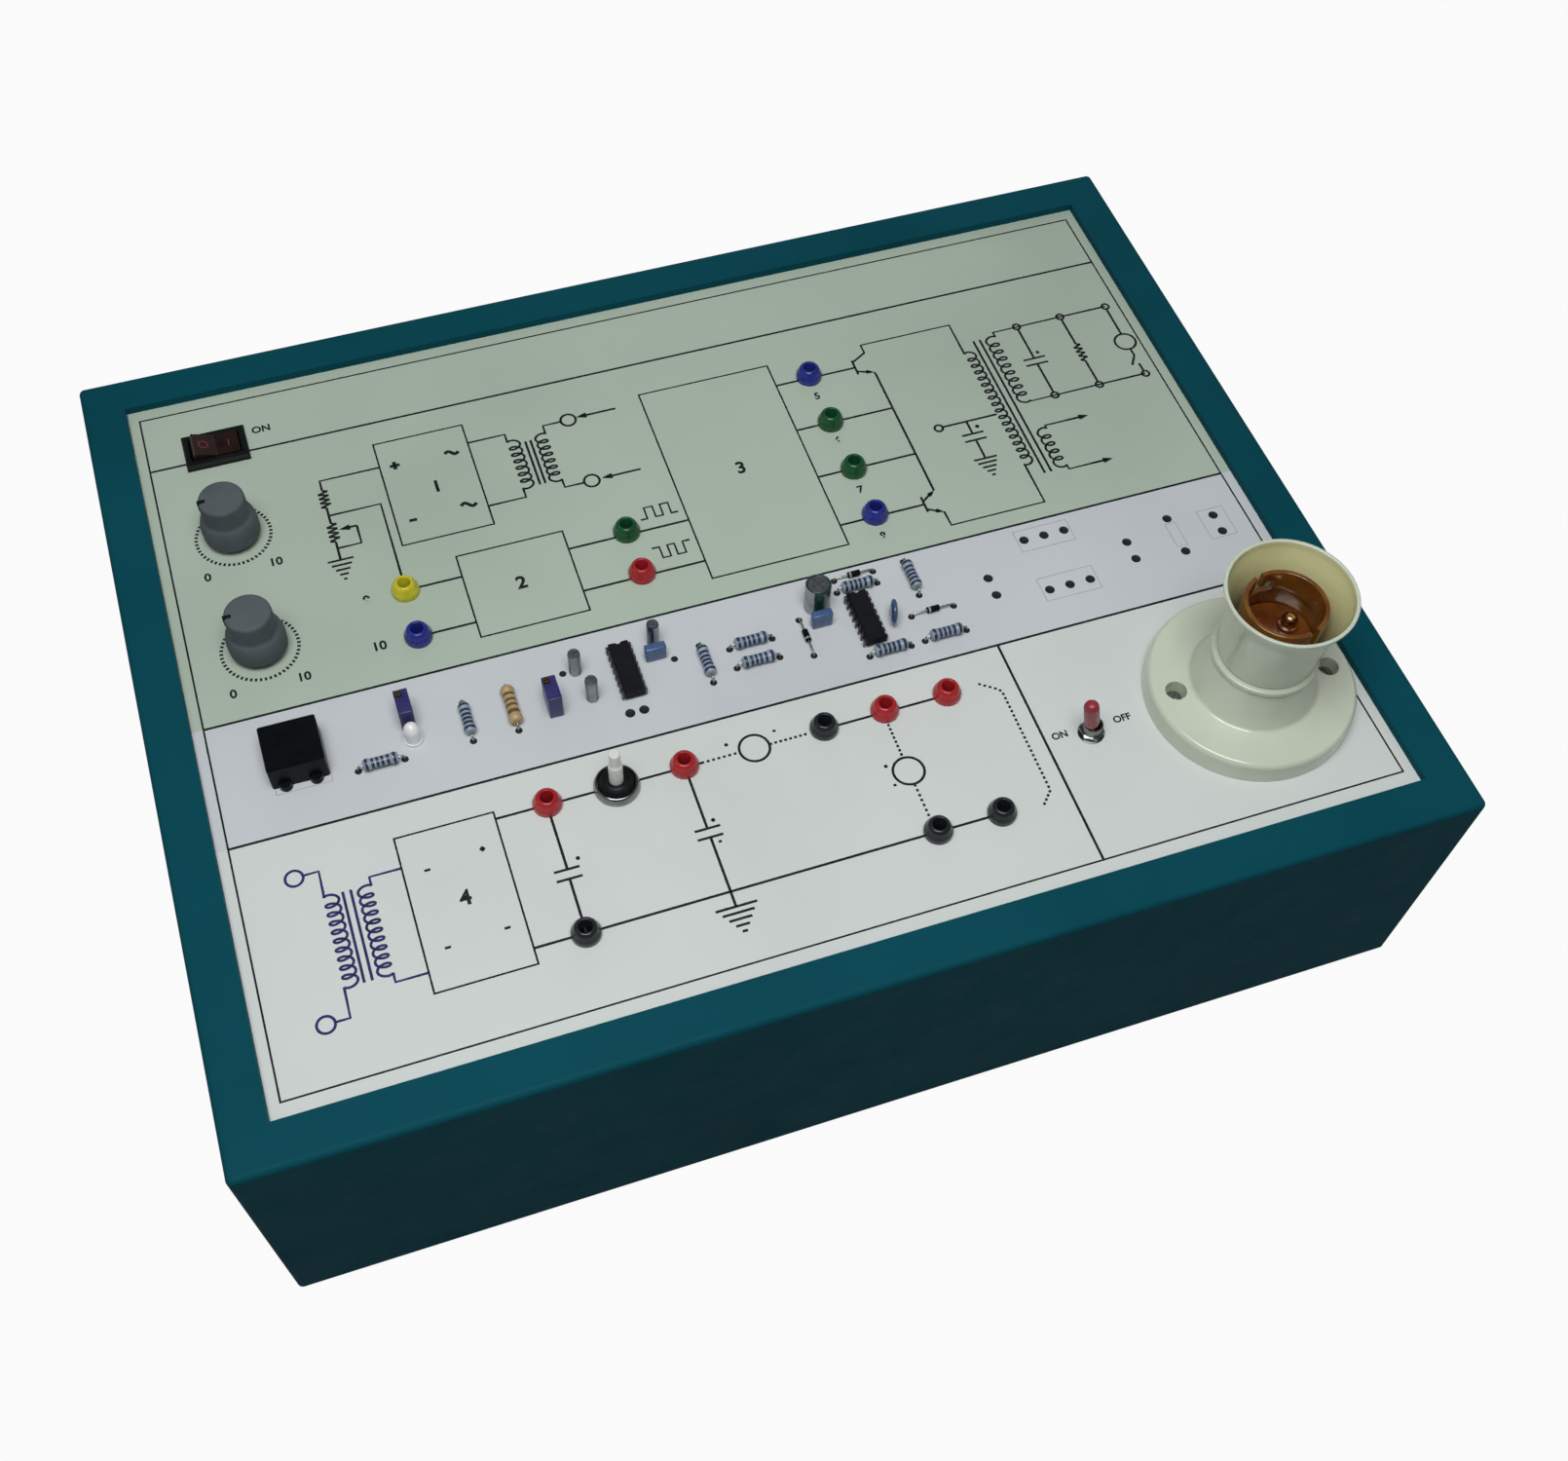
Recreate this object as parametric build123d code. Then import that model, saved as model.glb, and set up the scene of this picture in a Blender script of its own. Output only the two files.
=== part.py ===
from build123d import *
import math
import os

os.makedirs("parts", exist_ok=True)

# Case: a welded steel box, millimetres, +X right, +Y to the back, +Z up, z = 0 under the feet
CASE_W = 380.0
CASE_D = 295.0
CASE_H = 97.0
WALL = 1.5
EDGE_R = 2.0
RIM = 14.0  # width of the rim around the panel
LIP = 2.8  # drop of the rim's folded lip
FLANGE = 12.0  # inward flange that takes the base plate
FIT = 0.3  # gap around loose parts
SLIP = 0.05  # radial gap of a shaft or sleeve in its hole

# Feet
FOOT_R = 9.0
FOOT_H = 5.0
FOOT_INSET = 30.0

# Front panel
PANEL_T = 2.0
PANEL_LAP = 5.0  # how far the panel runs under the lip's outside
PANEL_CORNER_R = 3.0

# Panel rails
RAIL_T = 1.5
RAIL_LEG = 9.0
RAIL_SPAN = 340.0

# Levels
Z_CASE = FOOT_H
Z_TOP = Z_CASE + CASE_H
Z_PANEL = Z_TOP - LIP
Z_UNDER = Z_PANEL - PANEL_T
Z_FLOOR = Z_CASE + WALL  # top of the base plate

# Power switch
POWER_INSET = (40.2, 38.6)  # from the case's left and back walls
POWER_X = POWER_INSET[0] - CASE_W / 2
POWER_Y = CASE_D / 2 - POWER_INSET[1]
BEZEL_L = 21.0
BEZEL_D = 15.0
BEZEL_T = 2.0
SWITCH_L = 19.0
SWITCH_D = 12.9
SWITCH_DEPTH = 14.0
ROCKER_R = 8.2  # sweep radius of the rocker's ends
ROCKER_WIDE = 9.4
ROCKER_TILT = 10.0
ROCKER_PIN_R = 1.0

# Knobs and potentiometers
KNOB_INSET = 39.4  # from the case's left wall
KNOB_X = KNOB_INSET - CASE_W / 2
KNOB_YS = {"reference": 70.2, "frequency": 22.8}
KNOB_R = 9.3
KNOB_TOP_R = 7.0
KNOB_H = 19.0
KNOB_SKIRT_H = 5.0
KNOB_LIFT = 2.4  # gap under the skirt
POT_R = 12.0
POT_DEPTH = 10.0
POT_BUSH_R = 3.5
POT_BUSH_H = 5.0
POT_SHAFT_R = 3.0
POT_NUT_AF = 10.0
POT_NUT_T = 2.0

# Sockets, 4 mm plug
PLUG_R = 2.0
BUSH_WALL = 1.4
BUSH_DEPTH = 14.0  # below the panel
HEAD_R = 4.5
HEAD_TOP_R = 3.1
HEAD_H = 5.0
TAG_L = 5.0
TAG_W = 3.0
TAG_T = 0.6
SOCKETS = {
    "yellow": [(-102.4, 31.1)],
    "blue": [(-102.5, 12.2), (52.6, 81.3), (52.8, 15.6)],
    "green": [(-28.1, 33.1), (52.6, 58.8), (52.9, 36.5)],
    "red": [(-28.1, 15.2), (-79.8, -59.6), (-37.0, -59.3), (28.1, -58.8), (48.9, -58.8)],
    "black": [(8.0, -59.2), (28.1, -104.0), (48.7, -104.0), (-80.4, -104.4)],
}

# Circuit breaker
BREAKER_X = -58.4
BREAKER_Y = -59.8
BREAKER_NUT_AF = 14.0
BREAKER_NUT_T = 3.0
BREAKER_BUSH_R = 5.0
BREAKER_BUSH_H = 4.2
BREAKER_STEM_R = 2.2
BREAKER_TIP_R = 1.7
BREAKER_STEM_H = 12.0
BREAKER_TOP_H = 20.0
BREAKER_TRAVEL = 4.0
BREAKER_W = 16.0
BREAKER_D = 30.0
BREAKER_DEPTH = 26.0
BREAKER_TAB_Y = 9.0
BREAKER_TAB_W = 6.2
BREAKER_TAB_L = 9.0
TAB_T = 0.8  # thickness of every push-on tab

# Lamp switch
TOGGLE_BUSH_R = 3.0
TOGGLE_BUSH_H = 5.0
TOGGLE_BORE_R = 2.35
TOGGLE_BALL_R = 2.05  # half the length of the lever's cross pin
TOGGLE_PIN_R = 1.4
TOGGLE_LEVER_R = 1.1
TOGGLE_TILT = 12.0
TOGGLE_SLEEVE_R = 2.4
TOGGLE_SLEEVE_L = 12.0
TOGGLE_NUT_AF = 8.0
TOGGLE_NUT_T = 1.8
TOGGLE_W = 13.0
TOGGLE_D = 8.0
TOGGLE_DEPTH = 11.0
TOGGLE_TAB_X = 4.7
TOGGLE_TAB_W = 2.4
TOGGLE_TAB_L = 4.5

# Lamp holder
LAMP_INSET = (50.8, 60.7)  # from the case's right and front walls
LAMP_X = CASE_W / 2 - LAMP_INSET[0]
LAMP_Y = LAMP_INSET[1] - CASE_D / 2
LAMP_R = 33.5
LAMP_EDGE_H = 5.0
LAMP_DECK_H = 8.0
LAMP_BOSS_R = 22.0
LAMP_NECK_R = 17.4
LAMP_NECK_H = 23.5
LAMP_EDGE_W = 3.0  # slope between the edge and the deck
LAMP_NECK_L = 5.0  # straight part of the neck
CUP_R = 16.4
CUP_RIM_R = 19.8
CUP_RIM_H = 52.0
CUP_WALL = 1.6
CUP_NECK_L = 9.0  # straight part of the cup
CUP_SWELL = 1.6  # growth of its radius up to the flare
CUP_FLARE_L = 9.0
BARREL_BORE_R = 11.25
BARREL_WALL = 1.4
BARREL_TOP_H = 39.5
BARREL_GUIDE_L = 8.2  # stretch of the bore that fits the lamp's cap
BARREL_RELIEF = 0.5  # how much wider the bore is below that stretch
INSERT_LEDGE_H = 19.0
INSERT_FLANGE_T = 3.0
INSERT_FACE_H = 26.0
INSERT_BOTTOM_H = 12.0
SLOT_W = 2.6
SLOT_DEPTH = 8.0
SLOT_TURN = 22.0
CONTACT_SPREAD = 5.5
CONTACT_R = 2.4
CONTACT_H = 5.0  # how far a contact stands above the insert
CONTACT_L = 9.0
LAMP_SCREW_SPREAD = 25.0
LAMP_SCREW_TURN = -7.0
LAMP_WELL_R = 3.4
LAMP_WELL_H = 3.0  # floor of the screw wells

# The lamp's switch stands beside its holder
TOGGLE_GAP = 52.9
TOGGLE_RISE = 1.2
TOGGLE_X = LAMP_X - TOGGLE_GAP
TOGGLE_Y = LAMP_Y + TOGGLE_RISE

# Strip components
STRIP_LIFT = 0.4  # gap between a component and the panel
RESISTORS = [
    (-123.7, -31.0, 14.2, 0),
    (-95.4, -23.7, 14.5, 90),
    (-19.1, -25.1, 14.8, 90),
    (-3.3, -22.0, 14.2, 0),
    (-3.3, -29.6, 14.2, 0),
    (54.8, -12.8, 14.4, 90),
    (36.6, -11.2, 13.9, 0),
    (38.1, -38.0, 14.1, 0),
    (57.1, -37.6, 14.2, 0),
]
RESISTOR_R = 1.6
RESISTOR_L = 9.0
TAN_RESISTOR = (-81.3, -23.2, 16.4, 90)
TAN_R = 1.9
TAN_L = 12.5
DIODES = [(14.3, -25.0, 14.5, 90), (37.1, -6.3, 13.5, 0), (56.6, -27.3, 14.6, 0)]
DIODE_R = 1.0
DIODE_L = 4.2
LEAD_T = 0.6
CHIPS = [(-44.0, -21.2), (34.4, -24.8)]
CHIP_W = 6.4
CHIP_L = 19.6
CHIP_T = 3.4
CHIP_PITCH = 2.54
CHIP_ROWS = 7.62
CHIP_LIFT = 1.2
PIN_W = 0.7
PIN_T = 0.5
SMALL_CANS = [(-59.0, -15.5), (-56.6, -26.6), (-32.6, -12.0)]
SMALL_CAN_R = 2.0
SMALL_CAN_H = 10.0
LARGE_CAN = (21.6, -14.2)
LARGE_CAN_R = 3.6
LARGE_CAN_H = 12.0
BOX_CAPS = [(-33.6, -17.8), (20.6, -21.4)]
BOX_CAP = (5.4, 2.8, 6.0)
DISC_CAP = (42.9, -27.0)
DISC_R = 3.2
DISC_T = 1.8
TRIMMERS = [(-112.8, -17.0), (-68.8, -25.8)]
TRIMMER = (4.8, 9.0, 10.0)
TRIMMER_SCREW_R = 1.1
LED = (-112.5, -25.0)
LED_R = 2.5
LED_H = 8.6
LED_COLLAR = 0.4
RELAY = (-147.6, -21.4)
RELAY_L = 17.4
RELAY_D = 16.6
RELAY_H = 10.0
# Control board below the strip
BOARD_W = 236.0
BOARD_D = 40.0
BOARD_T = 1.6
BOARD_X = -20.0
BOARD_Y = -22.0
BOARD_DROP = 8.0
SPACER_R = 2.5

# Parts inside and on the back wall
CORE_W = 66.0
CORE_D = 34.0
CORE_H = 55.0
CORE_WINDOW_W = 11.0
CORE_LIMB = 22.0
COIL_OUT = 9.0
MAINS_CORE_X = -60.0
MAINS_CORE_INSET = 62.5  # from the back wall
MAINS_CORE = (MAINS_CORE_X, CASE_D / 2 - MAINS_CORE_INSET)
OUTPUT_CORE_INSET = (80.0, 97.5)  # from the right and back walls
OUTPUT_CORE = (CASE_W / 2 - OUTPUT_CORE_INSET[0], CASE_D / 2 - OUTPUT_CORE_INSET[1])
SINK_X = 20.0
SINK_INSET = 42.5
SINK_Y = CASE_D / 2 - SINK_INSET
SINK_T = 4.0
FIN_T = 2.0
FINS = 7
SINK_W = 60.0
SINK_H = 38.0
SINK_FIN = 22.0
INLET_X = -105.0
INLET_Z = 48.0
INLET_FLANGE_W = 50.0
INLET_FLANGE_H = 24.0
INLET_FLANGE_T = 2.0
INLET_BODY_W = 27.4
INLET_BODY_H = 19.8
INLET_BODY_D = 20.0
INLET_WELL_W = 24.6
INLET_WELL_H = 16.6
INLET_WELL_D = 16.5
INLET_PIN_L = 10.0
INLET_PIN_T = 2.0
INLET_PIN_H = 4.0
INLET_PIN_SPREAD = 7.0
INLET_PIN_OFF = 2.0  # line and neutral below the middle, earth above it
FUSE_X = -60.0
FUSE_R = 6.2
FUSE_FLANGE_R = 7.8
FUSE_FLANGE_T = 2.0
FUSE_DEPTH = 33.0
VENT_L = 30.0
VENT_T = 3.0
VENT_PITCH = 8.0
SUPPLY_GAP = 70.0
SUPPLY_Y = SINK_Y - SUPPLY_GAP  # row of the supply's rectifier and cans
SUPPLY_PITCH = 30.0
SUPPLY_CAN_R = 11.0
SUPPLY_CAN_H = 40.0
BRIDGE_X = SINK_X - 2 * SUPPLY_PITCH - 10.0
BRIDGE_W = 28.0
BRIDGE_H = 9.0
BRIDGE_TAB_AT = 9.0
BRIDGE_TAB_L = 8.0
TRANSISTOR_X = 14.0
TRANSISTOR_W = 15.6
TRANSISTOR_T = 5.0
TRANSISTOR_H = 20.0
TRANSISTOR_LEG_L = 8.0
TRANSISTOR_LEG_PITCH = 5.45


def block(x0, x1, y0, y1, z0, z1):
    """An upright box between two corners."""
    return Pos((x0 + x1) / 2, (y0 + y1) / 2, (z0 + z1) / 2) * Box(x1 - x0, y1 - y0, z1 - z0)


def rod(x, y, z0, z1, r):
    """An upright round bar between two levels."""
    return Pos(x, y, (z0 + z1) / 2) * Cylinder(r, z1 - z0)


def lathe(profile):
    """A turned solid from (radius, height) points, on the Z axis."""
    face = make_face(Polyline([(r, 0, z) for r, z in profile], close=True))
    return revolve(face, Axis.Z)


def hex_nut(x, y, z0, across, thick, hole_r):
    """A hexagon nut standing on z0."""
    blank = extrude(RegularPolygon(across / 2, 6, major_radius=False), thick)
    return Pos(x, y, z0) * (blank - Pos(0, 0, thick / 2) * Cylinder(hole_r, thick * 2))


def around(x, y, angle, solid):
    """A solid turned about Z, then moved to a place on the plan."""
    return Pos(x, y, 0) * Rot(0, 0, angle) * solid


def save(name, *solids):
    """One node: its solids in one file."""
    bodies = [s for item in solids for s in item.solids()]
    shape = bodies[0] if len(bodies) == 1 else Compound(children=bodies)
    export_step(shape, f"parts/{name}.step")


def all_sockets():
    return [place for places in SOCKETS.values() for place in places]


def lamp_screw_places():
    turn = math.radians(LAMP_SCREW_TURN)
    dx = LAMP_SCREW_SPREAD * math.cos(turn)
    dy = LAMP_SCREW_SPREAD * math.sin(turn)
    return [(LAMP_X - dx, LAMP_Y - dy), (LAMP_X + dx, LAMP_Y + dy)]


def foot_places():
    x = CASE_W / 2 - FOOT_INSET
    y = CASE_D / 2 - FOOT_INSET
    return [(sx * x, sy * y) for sx in (-1, 1) for sy in (-1, 1)]


def tab(x, y, z0, z1, width):
    """A flat push-on tab between two levels, wide along X."""
    return block(x - width / 2, x + width / 2, y - TAB_T / 2, y + TAB_T / 2, z0, z1)


def vents(count):
    """Places of a group of slots, centred on zero, along one line."""
    return [(i - (count - 1) / 2) * VENT_PITCH for i in range(count)]


def case_shell():
    outer = block(-CASE_W / 2, CASE_W / 2, -CASE_D / 2, CASE_D / 2, Z_CASE, Z_TOP)
    outer = fillet(outer.edges().filter_by(Axis.Z), EDGE_R)
    outer = fillet(outer.faces().sort_by(Axis.Z)[-1].edges(), EDGE_R)
    in_w = CASE_W / 2 - WALL
    in_d = CASE_D / 2 - WALL
    shell = outer - block(-in_w, in_w, -in_d, in_d, Z_CASE - 1, Z_TOP - WALL)
    open_w = CASE_W / 2 - RIM
    open_d = CASE_D / 2 - RIM
    lip = block(-open_w - WALL, open_w + WALL, -open_d - WALL, open_d + WALL, Z_PANEL, Z_TOP - WALL / 2)
    shell += lip
    shell -= block(-open_w, open_w, -open_d, open_d, Z_PANEL - 1, Z_TOP + 1)
    out_w = in_w + WALL / 2
    out_d = in_d + WALL / 2
    ledge = block(-out_w, out_w, -out_d, out_d, Z_FLOOR, Z_FLOOR + WALL)
    ledge -= block(-in_w + FLANGE, in_w - FLANGE, -in_d + FLANGE, in_d - FLANGE, Z_CASE, Z_TOP)
    shell += ledge
    back = CASE_D / 2
    shell -= Pos(INLET_X, back, INLET_Z) * Box(INLET_BODY_W + FIT, 4 * WALL, INLET_BODY_H + FIT)
    shell -= Pos(FUSE_X, back, INLET_Z) * Rot(90, 0, 0) * Cylinder(FUSE_R + SLIP, 4 * WALL)
    for z in vents(5):
        for x in (SINK_X, SINK_X + 2 * VENT_L):
            shell -= Pos(x, back, INLET_Z + z) * Box(VENT_L, 4 * WALL, VENT_T)
    return shell


def base_plate():
    w = CASE_W / 2 - WALL - FIT
    d = CASE_D / 2 - WALL - FIT
    plate = block(-w, w, -d, d, Z_CASE, Z_FLOOR)
    for x0, y0 in (MAINS_CORE, OUTPUT_CORE):
        for dy in vents(7):
            plate -= Pos(x0, y0 - 2.4 * CORE_D + dy, Z_CASE) * Box(VENT_L, VENT_T, 4 * WALL)
    return plate


def foot(x, y):
    return rod(x, y, 0, FOOT_H, FOOT_R)


def panel_cut(x, y, r):
    return rod(x, y, Z_UNDER - 1, Z_PANEL + 1, r)


def front_panel():
    half_w = CASE_W / 2 - RIM + PANEL_LAP
    half_d = CASE_D / 2 - RIM + PANEL_LAP
    plate = block(-half_w, half_w, -half_d, half_d, Z_UNDER, Z_PANEL)
    plate = fillet(plate.edges().filter_by(Axis.Z), PANEL_CORNER_R)
    for x, y in all_sockets():
        plate -= panel_cut(x, y, PLUG_R + BUSH_WALL + SLIP)
    for y in KNOB_YS.values():
        plate -= panel_cut(KNOB_X, y, POT_BUSH_R + SLIP)
    plate -= panel_cut(BREAKER_X, BREAKER_Y, BREAKER_BUSH_R + SLIP)
    plate -= panel_cut(TOGGLE_X, TOGGLE_Y, TOGGLE_BUSH_R + SLIP)
    plate -= panel_cut(LAMP_X, LAMP_Y, 2 * SPACER_R)
    plate -= Pos(POWER_X, POWER_Y, Z_PANEL) * Box(SWITCH_L + FIT, SWITCH_D + FIT, 4 * PANEL_T)
    return plate


def panel_rail(side):
    """An angle under the panel's long edge, its leg hanging at the inner side."""
    y_out = CASE_D / 2 - WALL - FIT
    y_in = CASE_D / 2 - RIM - 3.0
    top = Z_UNDER
    plate = block(-RAIL_SPAN / 2, RAIL_SPAN / 2, y_in, y_out, top - RAIL_T, top)
    leg = block(-RAIL_SPAN / 2, RAIL_SPAN / 2, y_in, y_in + RAIL_T, top - RAIL_LEG, top)
    rail = plate + leg
    return rail if side > 0 else mirror(rail, Plane.XZ)


# Power switch: its pivot lies on the panel's face
ROCKER_PIVOT_Z = Z_PANEL + 0.2


def power_housing():
    bezel = Pos(POWER_X, POWER_Y, Z_PANEL + BEZEL_T / 2) * Box(BEZEL_L, BEZEL_D, BEZEL_T)
    bezel = chamfer(bezel.faces().sort_by(Axis.Z)[-1].edges(), 0.8)
    depth = SWITCH_DEPTH
    body = Pos(POWER_X, POWER_Y, Z_PANEL - depth / 2) * Box(SWITCH_L, SWITCH_D, depth)
    housing = bezel + body
    window_l = 2 * (ROCKER_R + FIT)
    window_d = ROCKER_WIDE + 2 * FIT
    well = ROCKER_R + FIT
    housing -= block(
        POWER_X - window_l / 2, POWER_X + window_l / 2,
        POWER_Y - window_d / 2, POWER_Y + window_d / 2,
        ROCKER_PIVOT_Z - well, Z_PANEL + BEZEL_T + 1,
    )
    pin_l = ROCKER_WIDE + 2 * FIT + 2 * 0.9
    axle = Pos(POWER_X, POWER_Y, ROCKER_PIVOT_Z) * Rot(90, 0, 0) * Cylinder(ROCKER_PIN_R + SLIP, pin_l)
    return housing - axle


def power_rocker():
    """A shallow V on top, round ends about the pivot, and a pin at each side."""
    disc = Rot(90, 0, 0) * Cylinder(ROCKER_R, ROCKER_WIDE)
    rise = 3.6
    drop = 3.0
    disc -= Pos(0, 0, -drop - ROCKER_R) * Box(4 * ROCKER_R, 2 * ROCKER_WIDE, 2 * ROCKER_R)
    dip = rise - ROCKER_R * math.tan(math.radians(ROCKER_TILT))
    for side in (-1, 1):
        cutter = Pos(side * 2 * ROCKER_R, 0, 2 * ROCKER_R) * Box(4 * ROCKER_R, 2 * ROCKER_WIDE, 4 * ROCKER_R)
        disc -= Pos(0, 0, dip) * Rot(0, -side * ROCKER_TILT, 0) * cutter
    pins = Rot(90, 0, 0) * Cylinder(ROCKER_PIN_R, ROCKER_WIDE + 2 * FIT + 1.5)
    tilted = Rot(0, ROCKER_TILT, 0) * (disc + pins)
    return Pos(POWER_X, POWER_Y, ROCKER_PIVOT_Z) * tilted


def power_terminals():
    z1 = Z_PANEL - SWITCH_DEPTH
    return [block(POWER_X + dx - 2.4, POWER_X + dx + 2.4, POWER_Y - 0.4, POWER_Y + 0.4, z1 - 9.0, z1)
            for dx in (-5.0, 5.0)]


def knob():
    """A skirted knob with a hollow for the nut and a bore for the shaft, at the origin."""
    skirt = KNOB_SKIRT_H
    top = KNOB_H
    hollow_r = POT_NUT_AF / math.sqrt(3) + 1.0
    hollow_h = POT_BUSH_H + 1.0
    bore_end = hollow_h + 9.0
    profile = [
        (hollow_r, KNOB_LIFT), (KNOB_R, KNOB_LIFT), (KNOB_R, skirt), (KNOB_TOP_R, skirt + 4.5),
        (KNOB_TOP_R, top), (0, top),
        (0, bore_end), (POT_SHAFT_R, bore_end), (POT_SHAFT_R, hollow_h), (hollow_r, hollow_h),
    ]
    return lathe(profile)


def pot_body():
    """A round can with a threaded bush through the panel, and three lugs, at the origin."""
    bush_top = POT_BUSH_H
    shaft_r = POT_SHAFT_R + SLIP
    can_top = -PANEL_T
    can_low = can_top - POT_DEPTH
    profile = [
        (shaft_r, bush_top), (POT_BUSH_R, bush_top), (POT_BUSH_R, can_top), (POT_R, can_top),
        (POT_R, can_low), (0, can_low), (0, can_low + 2.0), (shaft_r, can_low + 2.0),
    ]
    body = lathe(profile)
    for dx in (-5.0, 0.0, 5.0):
        body += block(dx - 1.0, dx + 1.0, -POT_R - 6.0, -POT_R + 2.0, can_low + 1.0, can_low + 1.8)
    return body


def pot_shaft():
    low = -PANEL_T - POT_DEPTH + 2.0 + SLIP
    return rod(0, 0, low, POT_BUSH_H + 1.0 + 9.0, POT_SHAFT_R)


def socket_body(x, y):
    """A moulded collar on the panel, its bush through it, and the plug's bore down the middle."""
    bush_r = PLUG_R + BUSH_WALL
    low = -PANEL_T - BUSH_DEPTH
    profile = [
        (PLUG_R, low), (bush_r, low), (bush_r, 0), (HEAD_R, 0), (HEAD_TOP_R, HEAD_H), (PLUG_R, HEAD_H),
    ]
    return Pos(x, y, Z_PANEL) * lathe(profile)


def socket_tag(x, y):
    """The solder tag of the contact, on one side of the bush's end."""
    top = Z_UNDER - BUSH_DEPTH
    x0 = x + PLUG_R + BUSH_WALL / 2 - TAG_T / 2
    return block(x0, x0 + TAG_T, y - TAG_W / 2, y + TAG_W / 2, top - TAG_L, top)


def breaker_body():
    """A moulded body below the panel with its bush up through it."""
    low = -PANEL_T - BREAKER_DEPTH
    body = Pos(0, 0, low + BREAKER_DEPTH / 2) * Box(BREAKER_W, BREAKER_D, BREAKER_DEPTH)
    body += rod(0, 0, -PANEL_T - 1, BREAKER_BUSH_H, BREAKER_BUSH_R)
    body -= rod(0, 0, -BREAKER_TRAVEL - 6.0, BREAKER_BUSH_H + 1, BREAKER_STEM_R + SLIP)
    for dy in (-BREAKER_TAB_Y, BREAKER_TAB_Y):
        body += tab(0, dy, low - BREAKER_TAB_L, low + TAB_T, BREAKER_TAB_W)
    return Pos(BREAKER_X, BREAKER_Y, Z_PANEL) * body


def breaker_button():
    low = -6.0 + 0.5
    profile = [
        (0, low), (BREAKER_STEM_R, low), (BREAKER_STEM_R, BREAKER_STEM_H),
        (BREAKER_TIP_R, BREAKER_STEM_H), (BREAKER_TIP_R, BREAKER_TOP_H), (0, BREAKER_TOP_H),
    ]
    return Pos(BREAKER_X, BREAKER_Y, Z_PANEL) * lathe(profile)


TOGGLE_PIVOT_H = TOGGLE_BUSH_H - 3.2


def toggle_body():
    low = -PANEL_T - TOGGLE_DEPTH
    body = Pos(0, 0, low + TOGGLE_DEPTH / 2) * Box(TOGGLE_W, TOGGLE_D, TOGGLE_DEPTH)
    body += rod(0, 0, -PANEL_T - 1, TOGGLE_BUSH_H, TOGGLE_BUSH_R)
    body -= rod(0, 0, TOGGLE_PIVOT_H - TOGGLE_BALL_R - FIT, TOGGLE_BUSH_H + 1, TOGGLE_BORE_R)
    tail = TOGGLE_PIVOT_H - TOGGLE_BALL_R - 4.0
    body -= block(-2.6, 2.6, -1.3, 1.3, tail, TOGGLE_PIVOT_H - TOGGLE_BALL_R)
    for dx in (-TOGGLE_TAB_X, 0.0, TOGGLE_TAB_X):
        body += Pos(dx, 0, 0) * Rot(0, 0, 90) * tab(0, 0, low - TOGGLE_TAB_L, low + TAB_T, TOGGLE_TAB_W)
    return Pos(TOGGLE_X, TOGGLE_Y, Z_PANEL) * body


def toggle_place():
    return Pos(TOGGLE_X, TOGGLE_Y, Z_PANEL + TOGGLE_PIVOT_H) * Rot(0, -TOGGLE_TILT, 0)


def toggle_lever():
    """A lever with its cross pin at the pivot and a short tail below it."""
    reach = 4.3 + TOGGLE_SLEEVE_L - 0.8
    pin = Rot(90, 0, 0) * Cylinder(TOGGLE_PIN_R, 2 * TOGGLE_BALL_R - 0.4)
    lever = pin + rod(0, 0, 0, reach, TOGGLE_LEVER_R)
    lever += rod(0, 0, -TOGGLE_BALL_R - 2.0, 0, 0.8)
    return toggle_place() * lever


def toggle_sleeve():
    """The red cap over the lever's upper part."""
    low = 4.3
    top = low + TOGGLE_SLEEVE_L
    hole = TOGGLE_LEVER_R + 0.01
    profile = [
        (hole, low), (TOGGLE_SLEEVE_R, low), (TOGGLE_SLEEVE_R, top), (0, top),
        (0, top - 0.8), (hole, top - 0.8),
    ]
    return toggle_place() * lathe(profile)


def at_lamp(solid):
    return Pos(LAMP_X, LAMP_Y, Z_PANEL) * solid


def lamp_base():
    """The moulded base: deck, boss and neck over a wiring hollow, with two counterbores."""
    bore = INSERT_FLANGE_R + SLIP
    hollow_r = LAMP_BOSS_R - 5.0
    profile = [
        (hollow_r, 0), (LAMP_R, 0), (LAMP_R, LAMP_EDGE_H), (LAMP_R - LAMP_EDGE_W, LAMP_DECK_H),
        (LAMP_BOSS_R, LAMP_DECK_H), (LAMP_NECK_R, LAMP_NECK_H - LAMP_NECK_L), (LAMP_NECK_R, LAMP_NECK_H),
        (bore, LAMP_NECK_H), (bore, INSERT_LEDGE_H), (bore - 3.0, INSERT_LEDGE_H),
        (bore - 3.0, LAMP_DECK_H - 2.0), (hollow_r, LAMP_DECK_H - 2.0),
    ]
    base = at_lamp(lathe(profile))
    for x, y in lamp_screw_places():
        base -= rod(x, y, Z_PANEL + LAMP_WELL_H, Z_PANEL + LAMP_NECK_H, LAMP_WELL_R)
    return base


def lamp_cup():
    """The screwed-on skirt: a neck that flares to the rim."""
    inner = BARREL_BORE_R + BARREL_WALL + 0.1
    low = LAMP_NECK_H
    mid = CUP_RIM_H - CUP_FLARE_L
    profile = [
        (inner, low), (CUP_R, low), (CUP_R, low + CUP_NECK_L), (CUP_R + CUP_SWELL, mid),
        (CUP_RIM_R, CUP_RIM_H), (CUP_RIM_R - CUP_WALL, CUP_RIM_H),
        (CUP_R + CUP_SWELL - CUP_WALL, mid), (inner, low + CUP_NECK_L),
    ]
    return at_lamp(lathe(profile))


INSERT_FLANGE_R = BARREL_BORE_R + BARREL_WALL + 0.6
COLLAR_T = 1.5


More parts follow.
